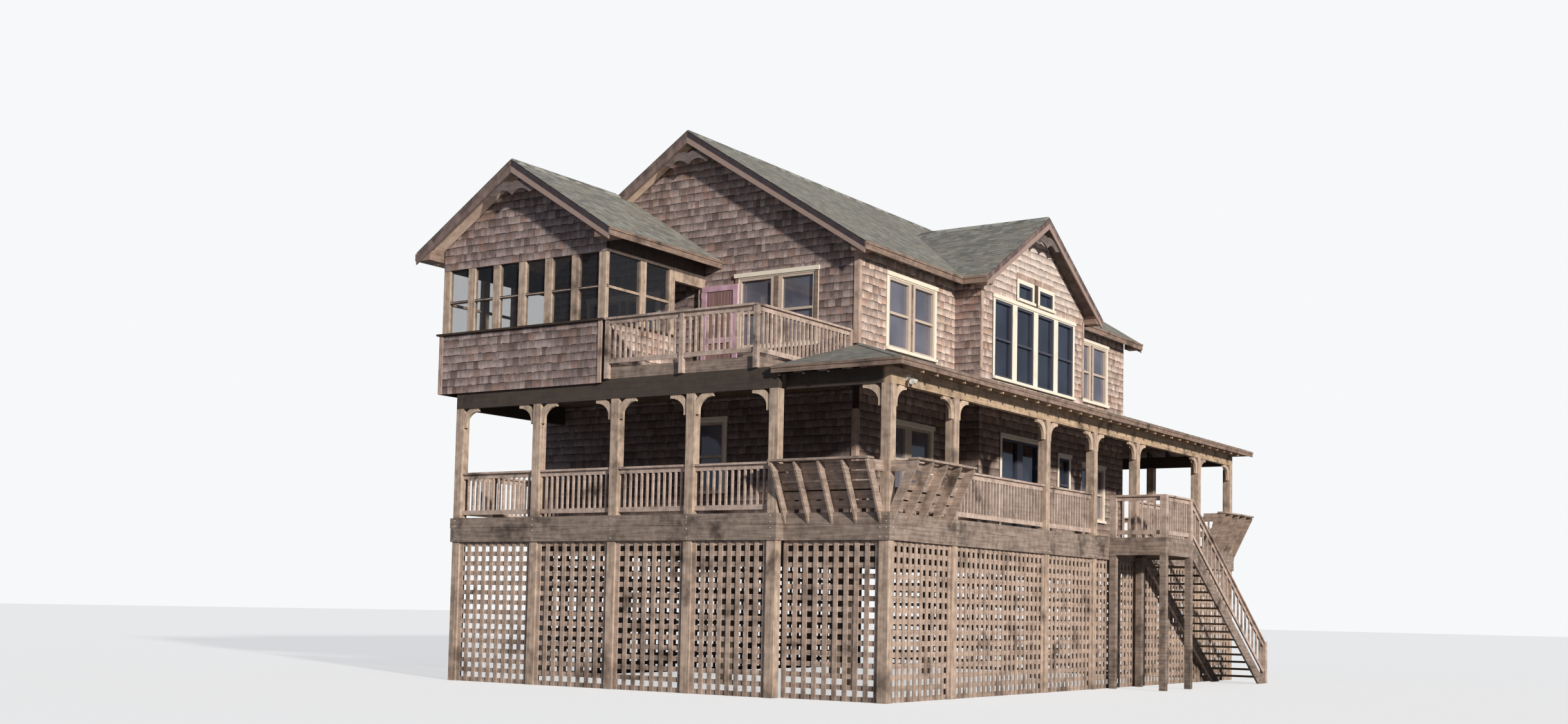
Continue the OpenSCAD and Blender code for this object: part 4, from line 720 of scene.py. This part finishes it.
# each wall's name, the axis, place and side of its face, its two ends, foot, top and finish
walls = (
    ("front", "y", front, -1, -wall, wall - corner, foot, mainGable, greyCedar),
    ("rear", "y", back, 1, -wall, wall, foot, mainGable, greyCedar),
    ("left", "x", -wall, -1, front, back, foot, sideTop, cedar),
    ("rightFront", "x", wall, 1, front + corner, bayLow, foot, sideTop, cedar),
    ("rightRear", "x", wall, 1, bayHigh, back, foot, sideTop, cedar),
    ("bay", "x", bayX, 1, bayLow, bayHigh, foot, bayGable, cedar),
    ("bayFront", "y", bayLow, -1, wall, bayX, foot, bayTop, greyCedar),
    ("bayRear", "y", bayHigh, 1, wall, bayX, foot, bayTop, greyCedar),
    ("parapet", "y", parapet, -1, h["screenLeft"] + corner, h["screenRight"] - corner, w["parapetLow"],
     parapetTop, greyCedar),
    ("parapetLeft", "x", h["screenLeft"], -1, parapet, front, w["parapetLow"], parapetTop, cedar),
    ("parapetRight", "x", h["screenRight"], 1, parapet + w["parapetCorner"], w["parapetRear"], h["floor"],
     parapetTop, cedar),
    ("screenGable", "y", h["screenFront"], -1, h["screenLeft"], h["screenRight"], w["gableFoot"],
     screenGable, greyCedar),
)
for i, (name, axis, face, turn, s0, s1, low, top, mat) in enumerate(walls):
    holes = windowHoles(name) + otherHoles.get(name, [])
    clad(name + "Shingles", wallPlace(axis, face, turn), s0, s1, low, top, holes, w["seed"] + i, mat)
print("walls shingled")


def roofPlace(axis, eave, turn, low, rise):
    # s runs along the eave, t is the plan distance in from it, out is square to the slope
    k = math.hypot(1, rise)

    def put(s, t, out):
        level = eave - turn * (t - out * rise / k)
        z = low + rise * t + out / k
        return np.stack([level, s, z] if axis == "x" else [s, level, z], 1)
    return put


def roofTabs(name, slope, t0, t1, left, right, seed):
    # left and right give the ends of the slope at each distance in from the eave
    rng = random.Random(seed)
    c = roofTab
    step = c["course"] / math.hypot(1, slope[-1])
    rows = []
    t = t0
    while t < t1 - c["leastRow"]:
        head = min(t + step, t1)
        lowLeft, lowRight, highLeft, highRight = left(t), right(t), left(head), right(head)
        s, end = min(lowLeft, highLeft), max(lowRight, highRight)
        while s < end - c["least"]:
            wide = min(rng.uniform(c["narrow"], c["wide"]), end - s)
            ends = s, s + wide - c["gap"]
            s += wide
            footLeft, footRight = (min(max(e, lowLeft), lowRight) for e in ends)
            headLeft, headRight = (min(max(e, highLeft), highRight) for e in ends)
            if max(footRight - footLeft, headRight - headLeft) < c["least"]:
                continue
            rows.append((footLeft, footRight, headLeft, headRight, t, head, head,
                         rng.uniform(c["thin"], c["thick"]), rng.random(), 0))
        t = head
    return layTabs(name, rows, roofPlace(*slope), roofing)


# room left at the ridges, the distance in at which the screened porch's roof meets the main one, and
# how far the rear slope of the porch stays inside its edge
roofEdge = {"flush": 0.012, "join": 2.40, "rear": 0.006}
flush = roofEdge["flush"]
mainRun, bayRun = wall + h["over"], bayHalf + h["over"]
mainFront, mainRear = front - h["rake"], back + h["rake"]
screenFace = h["screenFront"] - h["screenRake"]


def valley(t):
    # half the width that the bay's roof takes out of the main slope
    return max(0, bayRun - t * rise / bayRise)


def screenRear(t):
    # this slope ends at the wall, and above the join at the main roof
    return front if t < roofEdge["join"] else mainFront


mainRight, mainLeft = ("x", mainRun, 1, eave, rise), ("x", -mainRun, -1, eave, rise)
roofTabs("mainRightFrontRoof", mainRight, 0, mainRun - flush, flat(mainFront),
         lambda t: bayMid - valley(t), 31)
roofTabs("mainRightRearRoof", mainRight, 0, mainRun - flush, lambda t: bayMid + valley(t),
         flat(mainRear), 32)
roofTabs("mainLeftRoof", mainLeft, 0, mainRun - flush, flat(mainFront), flat(mainRear), 33)
for name, turn, rear, seed in (("screenRightRoof", 1, screenRear, 34),
                               ("screenLeftRoof", -1, flat(mainFront), 35)):
    slope = ("x", h["screenMid"] + turn * h["screenHalf"], turn, h["screenEave"], rise)
    roofTabs(name, slope, 0, h["screenHalf"] - flush, flat(screenFace), rear, seed)
for name, turn, seed in (("bayRoof36", 1, 36), ("bayRoof37", -1, 37)):
    roofTabs(name, ("y", bayMid - turn * bayRun, -turn, eave, bayRise), 0, bayRun - flush,
             lambda t: mainRun - t * bayRise / rise, flat(bayX + h["bayRake"]), seed)

porchX, porchFront, porchRear, porchLow = h["porchX"], h["porchFront"], h["porchRear"], h["porchLow"]
deep, frontDeep = porchX - wall, front - porchFront
lean, frontLean = ((h["porchHigh"] - porchLow) / d for d in (deep, frontDeep))
atBay, toWall, frontWide = deep - h["bayOut"], porchRear - back, porchX - h["porchLeft"]


# how far forward and back the side of the porch roof runs at each distance in from its eave
def hipFront(t):
    return porchFront + t * frontDeep / deep


def hipRear(t):
    return porchRear - max(t, roofEdge["rear"])


side, rearSlope = ("x", porchX, 1, porchLow, lean), ("y", porchRear, 1, porchLow, lean)
roofTabs("porchSideRoof", side, 0, atBay, hipFront, hipRear, 38)
roofTabs("porchSideFrontRoof", side, atBay, deep, hipFront, flat(bayLow), 39)
roofTabs("porchSideRearRoof", side, atBay, deep, flat(bayHigh), hipRear, 40)
roofTabs("porchFrontRoof", ("y", porchFront, -1, porchLow, frontLean), 0, frontWide * frontDeep / deep,
         flat(h["porchLeft"]), lambda t: porchX - t * deep / frontDeep, 41)
roofTabs("porchRearRoof", rearSlope, roofEdge["rear"], toWall, flat(-wall), lambda t: porchX - t, 42)
roofTabs("porchRearHipRoof", rearSlope, toWall, deep, flat(wall), lambda t: porchX - t, 43)
print("roofs shingled")


def modify(piece, kind, **settings):
    # one modifier, set and then applied
    made = piece.modifiers.new("made", kind)
    for key, value in settings.items():
        setattr(made, key, value)
    bpy.ops.object.modifier_apply(modifier="made")


def board(low, high, edge):
    # one sawn board between two corners, with its edges eased
    middle = [(a + b) / 2 for a, b in zip(low, high)]
    piece = added(bpy.ops.mesh.primitive_cube_add, size=1, location=middle)
    piece.scale = [b - a for a, b in zip(low, high)]
    bpy.ops.object.transform_apply(location=True, rotation=True, scale=True)
    modify(piece, "BEVEL", width=edge, segments=2)
    return piece


def joinPieces(name, made, mat):
    bpy.ops.object.select_all(action="DESELECT")
    for part in made:
        part.select_set(True)
    bpy.context.view_layer.objects.active = made[0]
    bpy.ops.object.join()
    piece = bpy.context.object
    piece.name = piece.data.name = name
    piece.data.materials.clear()
    piece.data.materials.append(mat)
    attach(piece, "root")
    return piece


# the scalloped boards: humps of the upper edge, arches and end lobes of the lower one
scallop = {
    "half": 0.705, "pitch": 0.47, "cusp": 0.545, "arch": 0.105, "lobe": 0.05, "notch": 0.30, "hump": 0.265,
    "humpAt": 0.145, "end": 0.455, "curve": 1.4, "thick": 0.028, "edge": 0.003, "cuts": 48, "back": 0.06,
}


def scallopEdge(x, upper):
    # how far an edge lies below the roof's peak, x away from the middle
    s = scallop
    x = abs(x)
    if upper and x < s["humpAt"]:
        return s["hump"] + (s["notch"] - s["hump"]) * (1 - x / s["humpAt"]) ** 2
    if upper:
        outward = (x - s["humpAt"]) / (s["half"] - s["humpAt"])
        return s["hump"] + (s["end"] - s["hump"]) * outward ** s["curve"]
    if x > s["pitch"]:
        inward = 1 - (x - s["pitch"]) / (s["half"] - s["pitch"])
        return s["cusp"] - s["lobe"] * (1 - inward * inward)
    across = 2 * x / s["pitch"] - 1
    return s["cusp"] - s["arch"] * (1 - across * across)


def scallopedBoards():
    s = scallop
    made = []
    for axis, face, mid, peak in (("y", screenFace + s["back"], h["screenMid"], screenUnder),
                                  ("y", mainFront + s["back"], 0.0, under),
                                  ("y", mainRear - s["back"], 0.0, under),
                                  ("x", bayX + h["bayRake"] - s["back"], bayMid, bayUnder)):
        piece = added(bpy.ops.mesh.primitive_grid_add, x_subdivisions=s["cuts"], y_subdivisions=1, size=1)
        for v in piece.data.vertices:
            x = v.co.x * 2 * s["half"]
            z = peak - scallopEdge(x, v.co.y > 0)
            v.co = (face, mid + x, z) if axis == "x" else (mid + x, face, z)
        modify(piece, "SOLIDIFY", thickness=s["thick"], offset=0)
        modify(piece, "BEVEL", width=s["edge"], segments=1, limit_method="ANGLE")
        faceOut(piece)
        made.append(piece)
    return joinPieces("scallopedBoards", made, timbers["scallop"])


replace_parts(scallopedBoards(), "scalloped_boards")

eaveLip = {"top": 0.012, "deep": 0.05, "thick": 0.02, "fascia": 0.028, "edge": 0.003}


def eaveLips():
    # thin boards that stand out under the lowest shingles of the main, bay and screened porch roofs
    e = eaveLip

    def lip(x0, x1, y0, y1, foot):
        return board((x0, y0, foot - e["top"] - e["deep"]), (x1, y1, foot - e["top"]), e["edge"])

    x, thick = mainRun + e["fascia"], e["thick"]
    y0, y1 = bayLow - h["over"] - e["fascia"], bayHigh + h["over"] + e["fascia"]
    bayEnd = bayX + h["bayRake"]
    screenX = h["screenMid"] + h["screenHalf"] + e["fascia"]
    return joinPieces("eaveLips", [
        lip(x, x + thick, mainFront, y0, eave), lip(x, x + thick, y1, mainRear, eave),
        lip(x, bayEnd, y0 - thick, y0, eave), lip(x, bayEnd, y1, y1 + thick, eave),
        lip(screenX, screenX + thick, screenFace, front, h["screenEave"])], timbers["trim"])


eaveLips()

# the two boards of the porch's eaves: how far each stands out, its head and its foot below the roof's edge
porchEdge = {
    "boards": ((0.03, 0.004, 0.049), (0.014, 0.049, 0.13)), "short": 0.001, "mitre": 0.0005, "edge": 0.002,
}


def porchEdges():
    e = porchEdge
    made = []
    for out, head, low in e["boards"]:
        z0, z1 = porchLow - low, porchLow - head
        for a, b in (((porchX, porchFront - out, z0), (porchX + out, porchRear - e["short"], z1)),
                     ((h["porchLeft"], porchFront - out, z0), (porchX - e["mitre"], porchFront, z1))):
            made.append(board(a, b, e["edge"]))
    return joinPieces("porchEdges", made, timbers["trim"])


porchEdges()

# bare mullions between twin sashes, and the bare casings beside the upper front window
mullion = {"half": 0.052, "sideHalf": 0.034, "out": 0.010, "face": 0.014, "clear": 0.004, "edge": 0.002}
bareCasing = {"from": 0.940, "to": 1.022, "front": 0.034, "back": 0.026, "over": 0.02}


def bareBoards():
    m, c, deck = mullion, bareCasing, h["deck"]
    made = []
    for mid, sill, head, _ in (windows["front"][0], windows["front"][2]):
        made.append(board((mid - m["half"], front - m["face"] - m["out"], deck + sill + m["clear"]),
                          (mid + m["half"], front - m["face"], deck + head - m["clear"]), m["edge"]))
    mid, sill, head = windows["front"][0][:3]
    for x0, x1 in ((mid - c["to"], mid - c["from"]), (mid + c["from"], mid + c["to"])):
        made.append(board((x0, front - c["front"], deck + sill + m["clear"]),
                          (x1, front - c["back"], deck + head + c["over"]), m["edge"]))
    for mid, sill, head, _ in (windows["rightFront"][0], windows["rightRear"][0]):
        made.append(board((wall + m["face"], mid - m["sideHalf"], deck + sill + m["clear"]),
                          (wall + m["face"] + m["out"], mid + m["sideHalf"], deck + head - m["clear"]),
                          m["edge"]))
    return joinPieces("bareBoards", made, timbers["trim"])


bareBoards()

# the folded shingles over the hips of the porch's roof
hipCap = {
    "pitch": 0.145, "lap": 1.12, "wide": 0.13, "thick": 0.007, "foot": 0.006, "under": 0.004, "rise": 0.85,
    "lift": 0.006, "inset": 0.012, "frontInset": 0.01, "headShort": 0.03, "headDrop": 0.004,
}


def foldedCaps(name, a, b, turn, seed):
    # caps laid over a hip from its foot a to its head b, one lapping the next
    rng = random.Random(seed)
    c = hipCap
    left, right = (-c["wide"], 0, 0), (0, turn * c["wide"], 0)
    a, b, left, right = (np.array(v, float) for v in (a, b, left, right))
    count = int(np.linalg.norm(b - a) / c["pitch"])
    unit = (b - a) / count
    up = np.cross(right - left, unit)
    up *= math.copysign(1, up[2]) / np.linalg.norm(up)
    verts, faces, tones = [], [], []
    for i in range(count):
        n = len(verts)
        for lift, at in ((c["thick"] + c["foot"], a + unit * i), (c["thick"], a + unit * (i + c["lap"]))):
            for across in (left, np.zeros(3), right):
                verts += [at + across + up * lift, at + across - up * c["under"]]
        t, q = [n, n + 2, n + 4], [n + 6, n + 8, n + 10]
        for k in (0, 1):
            faces += [(t[k], t[k + 1], q[k + 1], q[k]), (t[k] + 1, q[k] + 1, q[k + 1] + 1, t[k + 1] + 1),
                      (t[k], t[k] + 1, t[k + 1] + 1, t[k + 1]), (q[k], q[k + 1], q[k + 1] + 1, q[k] + 1)]
        faces += [(t[0], q[0], q[0] + 1, t[0] + 1), (t[2], t[2] + 1, q[2] + 1, q[2])]
        tones += [rng.random()] * 12
    return newPiece(name, [tuple(v) for v in verts], faces, roofing, tone=tones,
                    rise=([0.0] * 6 + [c["rise"]] * 6) * count)


c = hipCap
frontHead = (h["porchLeft"] + c["headShort"], hipFront(frontWide) - c["headShort"],
             porchLow + frontWide * lean - c["headDrop"])
foldedCaps("frontHipCaps", (porchX - c["frontInset"], porchFront + c["inset"], porchLow + c["lift"]),
           frontHead, 1, 51)
rearHead = (wall + c["headShort"], porchRear - deep + c["headShort"], h["porchHigh"] - c["headDrop"])
foldedCaps("rearHipCaps", (porchX - c["inset"], porchRear - c["inset"], porchLow + c["lift"]),
           rearHead, -1, 52)

# hexagon heads that hold the rim boards to the posts; the lower board stands a little farther in
bolt = {
    "radius": 0.013, "tall": 0.009, "sides": 6, "round": 0.002, "proud": 0.4, "lower": (2.87, 3.03),
    "upper": (3.14, 3.25), "lowerIn": 0.008, "front": -9.14, "frontX": (4.295, 2.423, 0.606, -1.391, -3.505),
    "cornerX": (6.43, 6.56), "sideY": (-8.77, -6.42, -2.42, 0.0, 2.42, 6.42, 8.77),
}


def boltHeads():
    b = bolt
    model = added(bpy.ops.mesh.primitive_cylinder_add, vertices=b["sides"], radius=b["radius"],
                  depth=b["tall"])
    modify(model, "BEVEL", width=b["round"], segments=1)
    corners, faces = shapeOf(model)
    spots = []
    for z in b["lower"] + b["upper"]:
        back = b["lowerIn"] if z in b["lower"] else 0.0
        spots += [("y", x, b["front"] + back, z) for x in b["frontX"]]
        spots += [("y", x, h["frontRim"] + back, z) for x in b["cornerX"]]
        spots += [("x", h["rightRim"] - back, y, z) for y in b["sideY"]]
    verts, quads = [], []
    for axis, x, y, z in spots:
        quads += [[len(verts) + i for i in face] for face in faces]
        for u, v, out in corners:
            out += b["tall"] * b["proud"]
            verts.append((x + out, y + u, z + v) if axis == "x" else (x + u, y - out, z + v))
    return newPiece("boltHeads", verts, quads, lampMetal)


boltHeads()
print("trim and bolts added")
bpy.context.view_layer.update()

# a wide pale floor, which its glow makes paler to the camera without lighting the house any more
floor = {"half": 220.0, "drop": 0.004, "finish": (0.95, 0.0), "tone": 0.40, "glow": 0.60}
ground = added(bpy.ops.mesh.primitive_plane_add, size=2 * floor["half"], location=(0, 0, -floor["drop"]))
ground.name = "studioFloor"
paper, sockets, at = newMaterial("studioPaper", *floor["finish"])[:3]
sockets["Base Color"].default_value = (floor["tone"], floor["tone"], floor["tone"], 1)
sockets["Emission Color"].default_value = (1, 1, 1, 1)
seen = at.node("ShaderNodeLightPath", output="Is Camera Ray")
(seen * floor["glow"]).to(sockets["Emission Strength"])
ground.data.materials.append(paper)

# the sky's light is blue and soft, and what the camera sees of it is nearly white
sky = {"light": (0.70, 0.80, 1.0, 1), "strength": 0.27, "seen": (0.93, 0.94, 0.95, 1)}
world = bpy.data.worlds.new("studioSky")
bpy.context.scene.world = world
world.use_nodes = True
tree = world.node_tree
light = tree.nodes["Background"]
light.inputs["Color"].default_value = sky["light"]
light.inputs["Strength"].default_value = sky["strength"]
seen = Sig(tree).node("ShaderNodeLightPath", output="Is Camera Ray")
plain = seen.node("ShaderNodeBackground", values={"Color": sky["seen"], "Strength": 1.0})
both = seen.node("ShaderNodeMixShader", values={0: seen, 1: Sig(tree, light.outputs[0]), 2: plain})
both.to(tree.nodes["World Output"].inputs["Surface"])

sun = {"energy": 3.7, "angle": 3, "colour": (1.0, 0.95, 0.86), "from": (1.0, -0.50, 0.31)}
key = bpy.data.lights.new("keyLight", "SUN")
key.energy, key.angle, key.color = sun["energy"], math.radians(sun["angle"]), sun["colour"]
lamp = bpy.data.objects.new("keyLight", key)
bpy.context.collection.objects.link(lamp)
lamp.rotation_mode = "QUATERNION"
lamp.rotation_quaternion = Vector(sun["from"]).to_track_quat("Z", "Y")

view = {
    "place": (21.142, -33.839, 1.581), "yaw": -33.832, "pitch": 3.789, "roll": 1.193, "lens": 38.456,
    "shift": 0.08696, "film": 36, "far": 800,
}
yaw, pitch, roll = (math.radians(view[k]) for k in ("yaw", "pitch", "roll"))
stand = Matrix.Translation(view["place"])
for angle, axis in ((-yaw, "Z"), (math.pi / 2 + pitch, "X"), (roll, "Z")):
    stand = stand @ Matrix.Rotation(angle, 4, axis)
film = bpy.data.cameras.new("photoCamera")
film.lens, film.sensor_width = view["lens"], view["film"]
film.shift_y, film.clip_end = view["shift"], view["far"]
camera = bpy.data.objects.new("photoCamera", film)
bpy.context.collection.objects.link(camera)
camera.matrix_world = stand
bpy.context.scene.camera = camera
bpy.context.scene.view_settings.view_transform = "Standard"
print("camera set")
